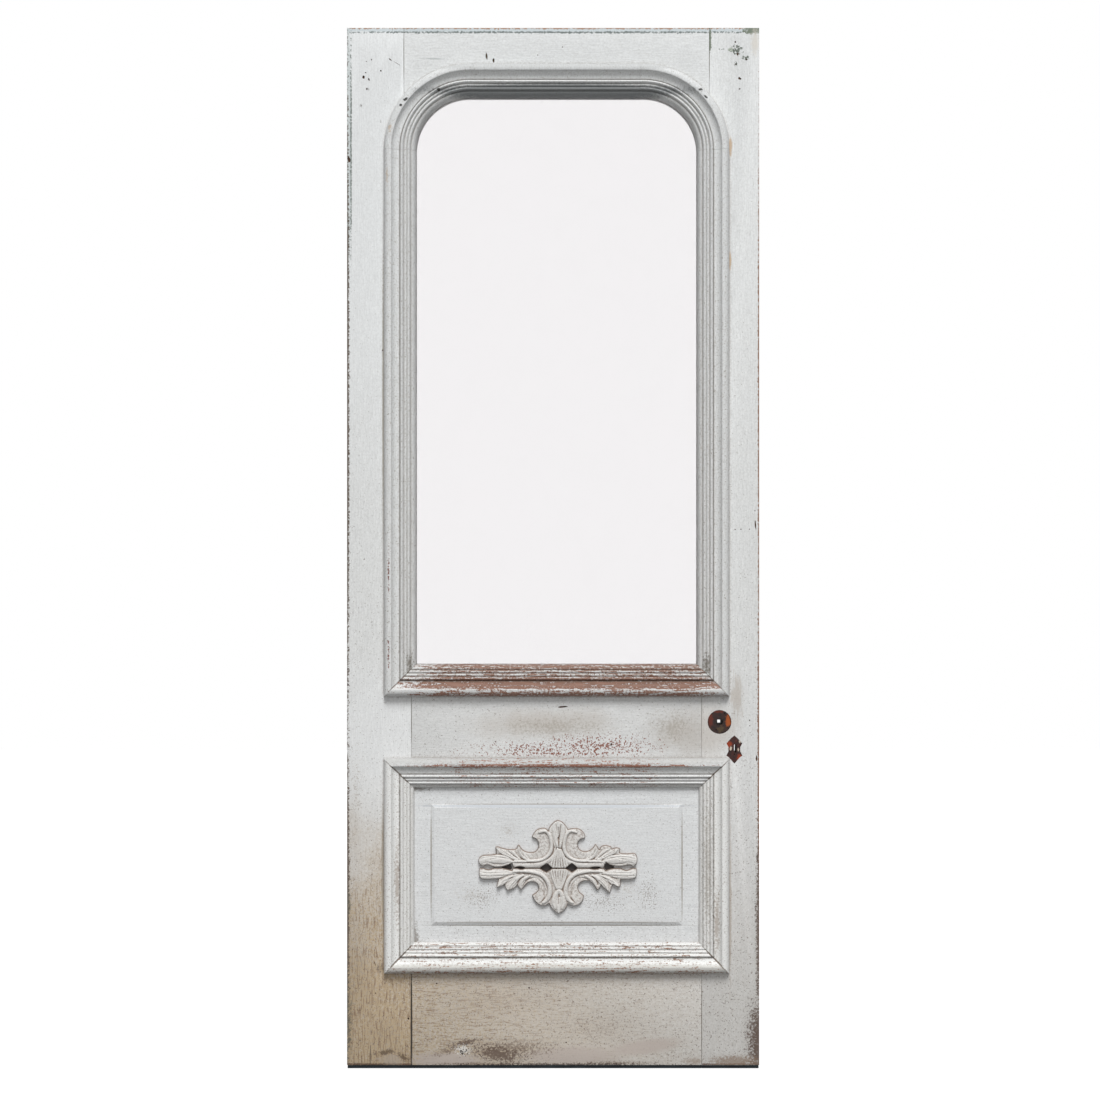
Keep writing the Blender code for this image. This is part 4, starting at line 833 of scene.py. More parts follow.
def distance_to(line, u, v, closed=False):
    """Distance of every grid point from a line, and how far along the line its nearest point is."""
    best = np.full(u.shape, 1e9)
    along = np.zeros(u.shape)
    ends = list(zip(line, line[1:] + line[:1])) if closed else list(zip(line, line[1:]))
    for number, ((ax, ay), (bx, by)) in enumerate(ends):
        dx, dy = bx - ax, by - ay
        t = np.clip(((u - ax) * dx + (v - ay) * dy) / max(dx * dx + dy * dy, 1e-9), 0, 1)
        away = np.hypot(u - ax - t * dx, v - ay - t * dy)
        nearer = away < best
        best = np.where(nearer, away, best)
        along = np.where(nearer, (number + t) / len(ends), along)
    return best, along


def inside_of(line, u, v):
    """Which grid points a closed line goes round."""
    inside = np.zeros(u.shape, bool)
    for (ax, ay), (bx, by) in zip(line, line[1:] + line[:1]):
        if ay != by:
            crossing = ax + (v - ay) * (bx - ax) / (by - ay)
            inside ^= ((ay > v) != (by > v)) & (u < crossing)
    return inside


def blurred(values, reach):
    """Each value averaged with those around it."""
    for axis in (0, 1):
        for _ in range(2):
            values = sum(np.roll(values, shift, axis) for shift in range(-reach, reach + 1)) / (2 * reach + 1)
    return values


def carved(name, edge, forms, cuts, is_upper, seed):
    """Half of the ornament: a relief that fills its drawn edge, cut with a gouge and then sanded."""
    outline = flowing(edge, True, 4)
    low = min(y for _, y in outline) - MARGIN
    high = max(y for _, y in outline) + MARGIN
    grid = PITCH / DRAWN
    u, v = np.meshgrid(np.arange(DRAWN_LEFT, DRAWN_RIGHT, grid), np.arange(low, high, grid))
    away, _ = distance_to(outline, u, v, True)
    depth_in = np.where(inside_of(outline, u, v), away, -away)
    joint = JOINT_GAP / 2 / DRAWN
    depth_in = np.minimum(depth_in, (JOINT_V - joint - v) if is_upper else (v - JOINT_V - joint))

    # Forms swell up from the ground, and cuts go down into them
    form = np.full(u.shape, GROUND)
    for points, halves, crest in forms:
        near, along = distance_to(flowing(points, False, 4), u, v)
        half = np.interp(along, np.linspace(0, 1, len(halves)), halves)
        round_over = np.sqrt(np.clip(1 - (near / half) ** 2, 0, 1))
        form = np.maximum(form, FORM_FOOT + (crest - FORM_FOOT) * round_over)
    for points, half, deep in cuts:
        near, _ = distance_to(flowing(points, False, 4), u, v)
        form = form - 0.62 * deep * np.exp(-(near / half) ** 2)
    form = CREST - 0.78 * (CREST - form)
    chance = np.random.default_rng(seed)
    stipple = blurred(chance.normal(size=u.shape), 1)
    form = np.clip(form + stipple * np.where(form < ROUGH_UNDER, 0.060, 0.025), LOWEST, 1.0)

    # The outer edge is rounded over 2.8 mm
    rim = np.clip(depth_in * DRAWN / 0.0028, 0, 1)
    height = CARVING_RELIEF * form * (EDGE_HEIGHT + (1 - EDGE_HEIGHT) * np.sqrt(1 - (1 - rim) ** 2))
    solid = np.where(depth_in > 0, height, 0.35 * CARVING_RELIEF)

    # Dirt and painted shade lie where a point is lower than those around it and along the edge; dirt alone
    # lies in the rough ground
    edge_dirt_and_shade = np.clip(1 - depth_in * DRAWN / 0.0021, 0, 1) ** 0.7
    hollow = np.maximum(np.clip((blurred(solid, 4) - solid) / 0.0022, 0, 1), edge_dirt_and_shade)
    ground_dirt = np.where(form < ROUGH_UNDER, np.clip(0.26 + 0.8 * stipple, 0, 0.55), 0.0)
    hollow = np.maximum(hollow, ground_dirt)

    # A grid point nearly on the edge is moved off it, so that no sliver faces are made
    snag = 0.15 * grid
    depth_in = np.where(np.abs(depth_in) < snag, np.where(depth_in < 0, -snag, snag), depth_in)
    points, dirt_and_shade, made = [], [], {}

    def corner(row, column):
        key = (row, column)
        if key not in made:
            made[key] = len(points)
            points.append(carved_place(u[row, column], v[row, column], height[row, column]))
            dirt_and_shade.append(hollow[row, column])
        return made[key]

    def crossing(one, other):
        key = (min(one, other), max(one, other))
        if key not in made:
            t = depth_in[one] / (depth_in[one] - depth_in[other])
            made[key] = len(points)
            shape = form[one] + t * (form[other] - form[one])
            points.append(carved_place(u[one] + t * (u[other] - u[one]), v[one] + t * (v[other] - v[one]),
                                       CARVING_RELIEF * shape * EDGE_HEIGHT))
            dirt_and_shade.append(1.0)
        return made[key]

    faces = []
    rows, columns = u.shape
    for row, column in zip(*np.nonzero(blurred((depth_in > 0).astype(float), 1) > 0)):
        if row + 1 >= rows or column + 1 >= columns:
            continue
        ring = [(row, column), (row + 1, column), (row + 1, column + 1), (row, column + 1)]
        face = []
        for here, there in zip(ring, ring[1:] + ring[:1]):
            if depth_in[here] > 0:
                face.append(corner(*here))
            if (depth_in[here] > 0) != (depth_in[there] > 0):
                face.append(crossing(here, there))
        if len(face) > 2:
            faces.append(face)

    mesh = bpy.data.meshes.new(name)
    mesh.from_pydata(points, [], faces)
    kept = mesh.attributes.new("hollow", 'FLOAT', 'POINT')
    kept.data.foreach_set("value", dirt_and_shade)
    piece = bpy.data.objects.new(name, mesh)
    bpy.context.scene.collection.objects.link(piece)
    only(piece)
    bpy.ops.object.mode_set(mode='EDIT')
    bpy.ops.mesh.select_all(action='SELECT')
    bpy.ops.mesh.normals_make_consistent(inside=False)
    bpy.ops.mesh.extrude_region_move(TRANSFORM_OT_translate={"value": (0.0, 0.02, 0.0)})
    bpy.ops.object.mode_set(mode='OBJECT')
    seat = FACE_Y + CARVING_SEAT
    values = piece.data.attributes["hollow"].data
    for vertex in piece.data.vertices:
        if vertex.co.y > seat:
            vertex.co.y = seat
            values[vertex.index].value = 1.0
    close_and_turn_out(piece)
    return piece


def carved_place(u, v, height):
    """A point of the carving, from its place on the drawing and its height over the panel."""
    return at(CARVING_X + (u - MIDDLE_U) * DRAWN, CARVING_Z + (JOINT_V - v) * DRAWN, CARVING_SEAT - height)


# Finishes of this door. TONES run from the darker, duller foot to the lighter top
TONES = [(0.0, srgb("CBCAC7")), (0.25, srgb("D2D2D1")), (0.5, srgb("D6D7D6")), (1.0, srgb("DBDDDD"))]

# Chalky, cracked paint along the top edge, bare wood over it, and the line of the rebate at the foot
TOP_EDGE_MARKS = [
    ("B4C0C4", 0.7, "fine", 1.6, 0.15, 0.6, [(0.46, 2.3065, 1.1, 0.0095)]),
    ("59625F", 0.9, "fine", 3.4, 0.45, 0.75, [(0.46, 2.3015, 1.2, 0.0046)]),
    ("96663E", 0.9, "fine", 3.6, 0.40, 0.70, [(0.46, 2.3118, 1.2, 0.0056)]),
    ("4A2A1E", 0.9, "fine", 1.4, 0.10, 0.50, [(0.46, 0.0122, 1.3, 0.0022)]),
]

# The hinge edge, worn to grey paint and then to brown wood from the top down
LEFT_EDGE_MARKS = [
    ("B9C2C2", 0.7, "fine", 0.8, 0.20, 0.5, [(0.003, 2.05, 0.0095, 0.42)]),
    ("6C746F", 0.95, "fine", 2.6, 0.35, 0.70, [(0.0087, 2.05, 0.0034, 0.42), (0.0, 1.75, 0.0075, 0.60),
                                               (0.0, 1.2, 0.0070, 0.50)]),
    ("54463A", 0.95, "fine", 2.6, 0.32, 0.62, [(0.0, 1.45, 0.0082, 1.30), (0.0, 0.40, 0.0090, 0.60)]),
    ("5B584C", 0.85, "fine", 2.6, 0.35, 0.9, [(0.0, 0.11, 0.020, 0.16), (0.003, 0.37, 0.010, 0.06)]),
]

# The open line of a joint between stile and rail; each member adds its own patches
JOINT = ("6B6459", 0.8, "streak", 1.6, 0.30, 0.6)
stile_paint = painted_pine("oil_paint_on_hinge_stile", "Z", film=1.0, marks=[
    ("EDF0F2", 0.22, "cloud", 0.8, -0.2, 0.7, [(0.05, 1.98, 0.30, 0.75), (0.06, 0.74, 0.14, 0.20)]),
    *TOP_EDGE_MARKS, *LEFT_EDGE_MARKS,
    (*JOINT, [(0.1258, 2.25, 0.0011, 0.10), (0.1425, 0.10, 0.0014, 0.16), (0.1425, 0.78, 0.0009, 0.10)]),
    ("2E2822", 0.9, "fine", 1.2, 0.2, 0.55, [(0.0519, 0.034, 0.0013, 0.034), (0.1422, 0.10, 0.0022, 0.20)]),
    ("A99C8E", 0.7, "fine", 1.6, 0.25, 0.7, [(0.098, 0.022, 0.045, 0.024)]),
    # Brown dirt near the foot; the patch at z 0.225 is brown dirt with painted shade beside and under the
    # panel moulding's lower left corner
    ("51402F", 0.8, "fine", 2.8, 0.30, 0.85, [(0.085, 0.038, 0.045, 0.010, 10),
                                              (0.125, 0.028, 0.030, 0.012, -35),
                                              (0.06, 0.009, 0.10, 0.010), (0.10, 0.225, 0.06, 0.020)]),
    ("7C6A55", 0.50, "fine", 4.6, 0.80, 1.45, [(0.03, 0.24, 0.09, 0.30), (0.02, 0.60, 0.03, 0.30),
                                               (0.08, 0.08, 0.12, 0.09)]),
    # Dirt and painted shadow in thin lines along the left of the panel and light mouldings' left legs
    ("8D8577", 0.7, "fine", 1.6, 0.3, 0.7, [(0.080, 0.45, 0.006, 0.26), (0.080, 1.5, 0.004, 0.6)]),
    ("8A8A86", 0.6, "fine", 1.6, 0.4, 0.8, [(0.031, 2.139, 0.006, 0.008), (0.045, 2.176, 0.009, 0.007)]),
])
lock_stile_paint = painted_pine("oil_paint_on_lock_stile", "Z", film=0.5, marks=TOP_EDGE_MARKS + [
    (*JOINT, [(0.8041, 2.25, 0.0011, 0.10), (0.7871, 0.10, 0.0012, 0.16), (0.7871, 0.78, 0.0007, 0.10)]),
    ("7A5238", 0.95, "fine", 2.2, 0.32, 0.62, [(0.9144, 1.45, 0.0050, 1.10), (0.9144, 0.70, 0.0062, 0.70)]),
    ("503C30", 0.92, "fine", 2.6, 0.16, 0.70, [(0.918, 0.060, 0.047, 0.15), (0.916, 0.30, 0.014, 0.34)]),
    ("85705E", 0.75, "fine", 2.4, 0.20, 0.75, [(0.86, 0.018, 0.10, 0.022), (0.83, 0.262, 0.03, 0.014)]),
    ("B89C7C", 0.8, "fine", 1.2, 0.3, 0.6, [(0.8505, 2.048, 0.007, 0.034), (0.8500, 1.795, 0.005, 0.034)]),
    ("66705F", 0.95, "fine", 2.2, 0.15, 0.50, [(0.8043, 2.282, 0.0058, 0.040),
                                               (0.9000, 2.306, 0.030, 0.012)]),
    ("A4AD9E", 0.85, "fine", 1.6, 0.20, 0.50, [(0.8510, 2.2625, 0.0100, 0.0065)]),
    ("5D665C", 0.95, "speck", 3.2, 0.50, 0.62, [(0.864, 2.262, 0.018, 0.014), (0.884, 2.245, 0.010, 0.008),
                                              (0.831, 2.264, 0.008, 0.003), (0.863, 2.232, 0.005, 0.006)]),
    ("C9C4BA", 0.7, "fine", 1.6, 0.2, 0.8, [(0.905, 2.28, 0.016, 0.05)]),
    ("AFA59A", 0.5, "cloud", 1.6, 0.0, 0.9, [(0.79, 0.75, 0.10, 0.09)]),
    ("9C9182", 0.6, "fine", 1.6, 0.4, 0.8, [(0.8264, 0.7714, 0.034, 0.034), (0.8594, 0.7104, 0.026, 0.040)]),
    ("9D8F80", 0.5, "streak", 1.8, 0.4, 0.8, [(0.865, 0.83, 0.03, 0.10), (0.85, 0.35, 0.006, 0.35)]),
])
top_rail_paint = painted_pine("oil_paint_on_top_rail", "X", marks=TOP_EDGE_MARKS + [
    (*JOINT, [(0.1262, 2.25, 0.0011, 0.10), (0.8037, 2.25, 0.0011, 0.10)]),
    ("8FA09A", 0.85, "fine", 1.5, 0.35, 0.7, [(0.3096, 2.2485, 0.005, 0.011), (0.325, 2.240, 0.005, 0.008)]),
    ("9DA4A2", 0.6, "streak", 1.8, 0.4, 0.7, [(0.19, 2.2430, 0.05, 0.004)]),
])
lock_rail_paint = painted_pine("oil_paint_on_lock_rail", "X", marks=[
    (*JOINT, [(0.1432, 0.78, 0.0009, 0.10), (0.7867, 0.78, 0.0007, 0.10)]),
    ("AFA59A", 0.5, "cloud", 1.6, 0.0, 0.9, [(0.74, 0.75, 0.12, 0.09), (0.42, 0.77, 0.22, 0.05)]),
    ("8E8577", 0.5, "fine", 3.0, 0.55, 1.15, [(0.46, 0.76, 0.30, 0.06), (0.72, 0.76, 0.14, 0.09)]),
    *[("7F4E3E", 0.95, "speck", 4.6, start, start + 0.06, [patch]) for start, patch in (
        (0.86, (0.555, 0.717, 0.190, 0.036)), (0.98, (0.420, 0.712, 0.200, 0.026)),
        (0.90, (0.46, 0.7015, 0.28, 0.010)))],
])
bottom_rail_paint = painted_pine("oil_paint_on_bottom_rail", "X", film=0.78, marks=[
    (*JOINT, [(0.1434, 0.10, 0.0014, 0.16), (0.7866, 0.10, 0.0012, 0.16)]),
    ("2E2822", 0.9, "fine", 1.2, 0.2, 0.55, [(0.1438, 0.08, 0.0020, 0.20)]),
    ("7E6A58", 0.5, "fine", 4.6, 0.75, 1.40, [(0.34, 0.16, 0.34, 0.12), (0.55, 0.09, 0.28, 0.09)]),
    ("B5AAA2", 0.85, "fine", 1.6, 0.15, 0.6, [(0.22, 0.022, 0.12, 0.026), (0.50, 0.032, 0.16, 0.030),
                                             (0.66, 0.050, 0.12, 0.024, 8)]),
    ("6A5848", 0.75, "fine", 3.8, 0.40, 0.95, [(0.36, 0.046, 0.17, 0.036), (0.23, 0.045, 0.08, 0.014, 20),
                                              (0.30, 0.012, 0.20, 0.008), (0.60, 0.014, 0.16, 0.008)]),
    ("605045", 0.92, "fine", 3.4, 0.22, 0.68, [(0.335, 0.035, 0.080, 0.026, -10),
                                               (0.262, 0.060, 0.052, 0.010, 10)]),
    ("D6D2CC", 0.9, "fine", 2.8, 0.45, 0.7, [(0.256, 0.044, 0.032, 0.021)]),
    ("3A332E", 0.95, "speck", 3.4, 0.85, 1.0, [(0.258, 0.042, 0.030, 0.024)]),
    ("8A7562", 0.6, "fine", 2.6, 0.35, 0.9, [(0.77, 0.018, 0.05, 0.018), (0.45, 0.262, 0.32, 0.016)]),
    ("3E3029", 0.85, "speck", 2.6, 0.35, 0.7, [(0.47, 0.0115, 0.36, 0.0045)]),
])

# Painted shadow on the panel in the openings of the carving, and darker lines and a blue-grey band along the
# edges of its field
PAINTED_SHADOW_BEHIND_CARVING = ("241D19", 0.96, "fine", 0.35, 0.22, 0.42, [
    (CARVING_X + out, CARVING_Z + up, wide, high) for out, up, wide, high in (
        (-0.113, 0.002, 0.017, 0.014), (-0.081, 0.0, 0.020, 0.006), (-0.0255, 0.0, 0.026, 0.016),
        (0.0300, 0.0, 0.026, 0.016), (0.081, 0.0, 0.020, 0.006), (0.114, 0.002, 0.017, 0.014))])
FIELD_EDGE = ("857B6E", 0.8, "fine", 1.0, 0.08, 0.40, [
    (0.1860, 0.4533, 0.0018, 0.155), (0.7438, 0.4533, 0.0018, 0.155),
    (0.465, 0.3188, 0.36, 0.0017), (0.465, 0.3264, 0.35, 0.0014), (0.465, 0.5880, 0.36, 0.0012)])
FIELD_TOP = ("A9AEB4", 0.75, "fine", 0.8, 0.05, 0.35, [(0.465, 0.5842, 0.36, 0.0052)])
panel_paint = painted_pine("oil_paint_on_panel", "X", lighter=0.3, marks=[
    ("DCE2EA", 0.15, "cloud", 0.8, -0.2, 0.6, [(0.465, 0.50, 0.8, 0.36)]),
    FIELD_TOP, FIELD_EDGE, PAINTED_SHADOW_BEHIND_CARVING,
    ("9A9083", 0.45, "fine", 4.2, 0.75, 1.35, [(0.275, 0.385, 0.10, 0.05), (0.62, 0.40, 0.12, 0.05),
                                              (0.36, 0.53, 0.07, 0.05)]),
    ("6E5F52", 0.55, "speck", 4.2, 1.00, 1.20, [(0.67, 0.39, 0.05, 0.08), (0.57, 0.37, 0.12, 0.05),
                                                (0.30, 0.38, 0.08, 0.06)]),
    # Dirt with painted shade in the panel's lower left corner and in a strip under the left end of the
    # moulding's top run
    ("6B6258", 0.7, "fine", 2.6, 0.45, 0.9, [(0.152, 0.29, 0.014, 0.07), (0.16, 0.622, 0.05, 0.010)]),
])

# The mouldings: open mitres, dull heads, painted shade on the light's head, and the sill, crest and foot worn
# to the wood
LIGHT_MITRES = ("5F5145", 0.8, "fine", 1.6, 0.20, 0.55, [
    (0.1175, 0.8635, 0.055, 0.0022, 45), (0.8124, 0.8635, 0.055, 0.0022, -45)])
PANEL_MITRES = ("5A4A3C", 0.9, "fine", 1.6, 0.15, 0.50, [
    (0.1155, 0.2480, 0.056, 0.0026, 45), (0.8144, 0.2480, 0.056, 0.0026, -45),
    (0.1155, 0.6585, 0.056, 0.0020, -45), (0.8144, 0.6585, 0.056, 0.0020, 45)])
CHALKY = ("F1F1EE", 0.45, "cloud", 0.8, -0.2, 0.6, [(0.467, 0.45, 1.2, 1.2)])
light_paint = painted_pine("oil_paint_on_light_moulding", "Z", grime_and_shade=section_grime_and_shade(0.6), lighter=0.3, marks=[
    ("8A8172", 0.45, "fine", 4.0, 1.00, 1.60, [(0.467, 1.50, 3.0, 3.0)]),
    ("7E7666", 0.45, "speck", 4.0, 1.10, 1.70, [(0.467, 1.50, 3.0, 3.0)]), LIGHT_MITRES,
    # Painted shade, with some dirt, on the light's head: grey over its outer roll and cove, dark blue-grey
    # over its reeds and inner band, which face down
    ("8F9191", 0.34, "fine", 0.7, 0.02, 0.40, [(0.467, 2.2235, 0.42, 0.014)]),
    ("555B5E", 0.80, "fine", 0.7, 0.02, 0.40, [(0.467, 2.1690, 0.36, 0.022)]),
    ("23211E", 0.95, "fine", 2.4, 0.10, 0.35, [
        (0.131, 2.148, 0.008, 0.004, 30), (0.1205, 2.1355, 0.004, 0.004), (0.204, 2.172, 0.004, 0.005),
        (0.794, 2.154, 0.006, 0.003, -40), (0.783, 2.170, 0.005, 0.004)]),
    ("B49670", 0.5, "fine", 2.4, 0.5, 0.9, [(0.096, 2.085, 0.010, 0.024), (0.090, 1.98, 0.006, 0.05)]),
    ("6B645A", 0.8, "fine", 2.8, 0.35, 0.85, [(0.140, 0.90, 0.016, 0.045), (0.797, 0.90, 0.016, 0.045)]),
    ("6E3A2E", 0.9, "speck", 3.6, 0.75, 0.85, [(0.0935, 0.92, 0.0045, 0.06), (0.094, 1.10, 0.003, 0.10)]),
])
WORN_SILL = [(0.0, 0.66), (0.04, 0.88), (0.12, 0.88), (0.16, 0.32), (0.24, 0.34), (0.28, 1.1), (0.47, 1.2),
             (0.53, 0.95), (0.60, 0.75), (0.66, 0.40), (0.78, 0.46), (0.84, 0.90), (1.0, 0.80)]
sill_paint = painted_pine(
    "worn_oil_paint_on_sill", "X", grime_and_shade=section_grime_and_shade(1.3), marks=[LIGHT_MITRES],
    worn=section_wear(0.071, 0.49, 0.27, 0.40, WORN_SILL, "6B4E41", "8A6656"))
WORN_CREST = [(0.0, 0.0), (0.17, 0.10), (0.20, 0.95), (0.28, 0.90), (0.32, 0.0), (1.0, 0.0)]
WORN_FOOT = [(0.0, 0.55), (0.08, 0.42), (0.16, 0.0), (0.80, 0.0), (0.86, 0.32), (0.92, 0.0), (1.0, 0.0)]
panel_trim_paint = painted_pine(
    "oil_paint_on_panel_moulding", "X", grime_and_shade=section_grime_and_shade(0.95), lighter=0.7, marks=[
        CHALKY, PANEL_MITRES, ("857A6A", 0.5, "speck", 4.0, 1.15, 1.7, [(0.467, 0.45, 3.0, 3.0)]),
        ("8F8779", 0.45, "fine", 3.0, 0.30, 1.00, [(0.800, 0.45, 0.020, 0.30)]),
        ("8A7868", 0.6, "fine", 2.4, 0.35, 0.9, [(0.112, 0.42, 0.012, 0.18), (0.82, 0.33, 0.014, 0.14)]),
        ("8C7C6C", 0.45, "fine", 5.0, 1.35, 1.85, [(0.467, 0.45, 3.0, 3.0)])])
panel_head_paint = painted_pine(
    "worn_oil_paint_over_panel", "X", grime_and_shade=section_grime_and_shade(0.95), lighter=0.7,
    worn=section_wear(0.067, 0.46, 0.20, 0.34, WORN_CREST, "744A3B", "966A58"),
    marks=[PANEL_MITRES, ("8C8A86", 0.40, "fine", 0.7, 0.02, 0.40, [(0.467, 0.6865, 0.60, 0.011)])])
panel_foot_paint = painted_pine(
    "worn_oil_paint_under_panel", "X", grime_and_shade=section_grime_and_shade(0.95), lighter=0.7,
    worn=section_wear(0.067, 0.462, 0.30, 0.50, WORN_FOOT, "6B4A3A", "8F6C58"),
    marks=[CHALKY, PANEL_MITRES, ("A5A29A", 0.55, "fine", 0.7, 0.02, 0.40, [(0.467, 0.2265, 0.70, 0.015)])])
carving_paint = painted_pine(
    "oil_paint_on_carving", "X", grime_and_shade=carving_grime_and_shade, lighter=0.6, soil_and_shade="6C5443",
    marks=[("C6B6A6", 0.22, "cloud", 0.5, 0.0, 0.5, [(CARVING_X, CARVING_Z, 0.26, 0.15)])])
rose_ground = stained_seat("rusted_ground_under_rose", [
    ("9A4A12", 0.9, [(ROSE_X + 0.0185, ROSE_Z + 0.002, 0.0105, 0.022)]),
    ("5A1E0C", 0.8, [(ROSE_X - 0.020, ROSE_Z + 0.004, 0.010, 0.024),
                     (ROSE_X - 0.002, ROSE_Z + 0.0235, 0.024, 0.006)]),
    ("4A3A22", 0.7, [(ROSE_X + 0.002, ROSE_Z - 0.016, 0.014, 0.012)])], "150B08", "33180F")
plate_ground = stained_seat("rusted_ground_under_keyhole_plate", [
    ("8E3410", 0.85, [(PLATE_X - 0.012, PLATE_Z + 0.012, 0.010, 0.014),
                      (PLATE_X + 0.011, PLATE_Z - 0.018, 0.009, 0.012)]),
    ("C9B9A6", 0.95, [(0.8516, 0.7128, 0.0038, 0.0095), (0.8681, 0.7092, 0.0028, 0.0075),
                      (PLATE_X + 0.012, PLATE_Z + 0.017, 0.004, 0.006)])], "1A0A07", "43170D")
glass = window_glass()
iron = lock_iron()
# Nearly black and blue-grey: the weathered rebate at the foot, with painted shadow in it
dark_foot = bare_pine("dark_pine_with_painted_shadow", "17181B", "3F4A50", "X")
bare = bare_pine("bare_old_pine", "2B1C15", "5A4030")

# Stiles and rails, with their nail holes, knocks and gouges
HINGE_SIDE_DENTS = [
    (0.0366, 2.202, 0.0060, 0.0085, 0.0030, 0), (0.0417, 2.212, 0.0030, 0.0030, 0.0015, 0),
    (0.0484, 2.197, 0.0036, 0.0070, 0.0022, 20), (0.0437, 2.176, 0.0036, 0.0050, 0.0022, 0),
    (0.0750, 2.216, 0.0044, 0.0040, 0.0016, 0), (0.0428, 2.237, 0.0024, 0.0024, 0.0012, 0),
    (0.0541, 2.241, 0.0026, 0.0034, 0.0014, 0), (0.0319, 2.139, 0.0020, 0.0020, 0.0010, 0),
    (0.0787, 1.596, 0.0036, 0.0036, 0.0016, 0), (0.0960, 2.241, 0.0090, 0.0026, 0.0012, -40),
    (0.1110, 2.2325, 0.0190, 0.0010, 0.0005, -32), (0.0747, 2.104, 0.0010, 0.0085, 0.0006, 0),
    (0.0044, 2.019, 0.0070, 0.0120, 0.0020, 15), (0.0006, 0.915, 0.0050, 0.0050, 0.0020, 0),
    (0.0008, 0.889, 0.0050, 0.0055, 0.0020, 0), (0.0010, 0.854, 0.0060, 0.0060, 0.0024, 0),
    (0.0006, 0.839, 0.0050, 0.0040, 0.0020, 0), (0.1360, 0.113, 0.0046, 0.0050, 0.0030, 0),
    (0.0630, 0.1695, 0.0034, 0.0034, 0.0016, 0), (0.0620, 0.235, 0.0016, 0.0130, 0.0008, 20),
]
LOCK_SIDE_DENTS = [
    (0.9060, 1.209, 0.0036, 0.0220, 0.0020, 5), (0.9050, 1.240, 0.0026, 0.0026, 0.0014, 0),
    (0.8610, 1.1985, 0.0034, 0.0026, 0.0014, 0), (0.8740, 1.199, 0.0030, 0.0026, 0.0012, 0),
    (0.8930, 1.199, 0.0030, 0.0024, 0.0012, 0), (0.8710, 2.176, 0.0044, 0.0036, 0.0016, 0),
    (0.8710, 2.199, 0.0080, 0.0056, 0.0014, -20), (0.8615, 2.280, 0.0044, 0.0040, 0.0014, 0),
    (0.8668, 2.2535, 0.0046, 0.0080, 0.0016, 0), (0.8865, 2.241, 0.0040, 0.0040, 0.0014, 0),
    (0.8014, 2.2295, 0.0034, 0.0046, 0.0014, 0), (0.8625, 2.2306, 0.0036, 0.0040, 0.0014, 0),
    (0.8375, 0.7895, 0.0036, 0.0036, 0.0060, 0), (0.8193, 0.7540, 0.0036, 0.0036, 0.0060, 0),
    (0.8595, 0.6990, 0.0030, 0.0030, 0.0060, 0), (0.8930, 0.775, 0.0030, 0.0034, 0.0016, 0),
    (0.8935, 0.763, 0.0026, 0.0026, 0.0012, 0), (0.9085, 0.691, 0.0040, 0.0140, 0.0020, 0),
    (0.9100, 0.470, 0.0036, 0.0160, 0.0020, 0),
]
TOP_RAIL_DENTS = [
    (0.3096, 2.2485, 0.0040, 0.0160, 0.0012, 8), (0.3250, 2.2390, 0.0046, 0.0100, 0.0024, 0),
    (0.4780, 2.2690, 0.0034, 0.0026, 0.0016, 0), (0.4230, 2.251, 0.0030, 0.0026, 0.0012, 0),
]
LOCK_RAIL_DENTS = [
    (0.4790, 0.8050, 0.0240, 0.0042, 0.0026, 4), (0.3290, 0.7280, 0.0030, 0.0026, 0.0012, 0),
    (0.5860, 0.7215, 0.0050, 0.0060, 0.0010, 0),
]
BOTTOM_RAIL_DENTS = [
    (0.4900, 0.1970, 0.0030, 0.0030, 0.0016, 0), (0.4040, 0.1815, 0.0050, 0.0040, 0.0016, 0),
    (0.4810, 0.1750, 0.0026, 0.0026, 0.0012, 0), (0.4860, 0.0600, 0.0036, 0.0036, 0.0016, 0),
    (0.1990, 0.1910, 0.0044, 0.0036, 0.0016, 0), (0.7885, 0.1270, 0.0030, 0.0050, 0.0016, 0),
    (0.3930, 0.1900, 0.0060, 0.0016, 0.0008, 0), (0.2210, 0.2190, 0.0026, 0.0026, 0.0010, 0),
]


def seat_finish(x, y, z):
    """The finish of a face of the lock stile: 3 and 4 in the seats, 2 in the ways through, otherwise 0."""
    from_rose = math.hypot(x - at(ROSE_X, 0).x, z - at(0, ROSE_Z).z)
    from_plate = math.hypot(x - at(PLATE_X, 0).x, z - at(0, PLATE_Z).z)
    if x > at(ROSE_X - 0.03, 0).x and FACE_Y + TINY < y < FACE_Y + SEAT_SINK + TINY:
        return 3 if from_rose < ROSE_REACH else 4 if from_plate < PLATE_REACH else 0
    if from_rose < SPINDLE_REACH or (from_plate < KEYHOLE_REACH and y > FACE_Y):
        return 2
    return 0


for number, (node, name, finish, dents) in enumerate((
        ("hinge_stile", "stile_on_hinge_side", stile_paint, HINGE_SIDE_DENTS),
        ("lock_stile", "stile_on_lock_side", lock_stile_paint, LOCK_SIDE_DENTS),
        ("top_rail", "rail_over_light", top_rail_paint, TOP_RAIL_DENTS),
        ("lock_rail", "rail_under_light", lock_rail_paint, LOCK_RAIL_DENTS),
        ("bottom_rail", "rail_at_foot", bottom_rail_paint, BOTTOM_RAIL_DENTS))):
    member = working_copy(node, name)
    dress(member, [finish, dark_foot, bare, rose_ground, plate_ground])
    soften_arrises(member, 0.0006, (FACE_Y, BACK_Y))
    for face in member.data.polygons:
        x, y, z = face.center
        # The rebate's faces take the dark pine with painted shadow
        if z < FOOT_Z + REBATE_HEIGHT + 2 * TINY and y < FACE_Y + REBATE_DEPTH + 2 * TINY:
            face.material_index = 1
        else:
            face.material_index = seat_finish(x, y, z) if node == "lock_stile" else 0
    cut_dents(member, dents, bare, number)
    settle(member, 30)
    hand_over(member, [node])

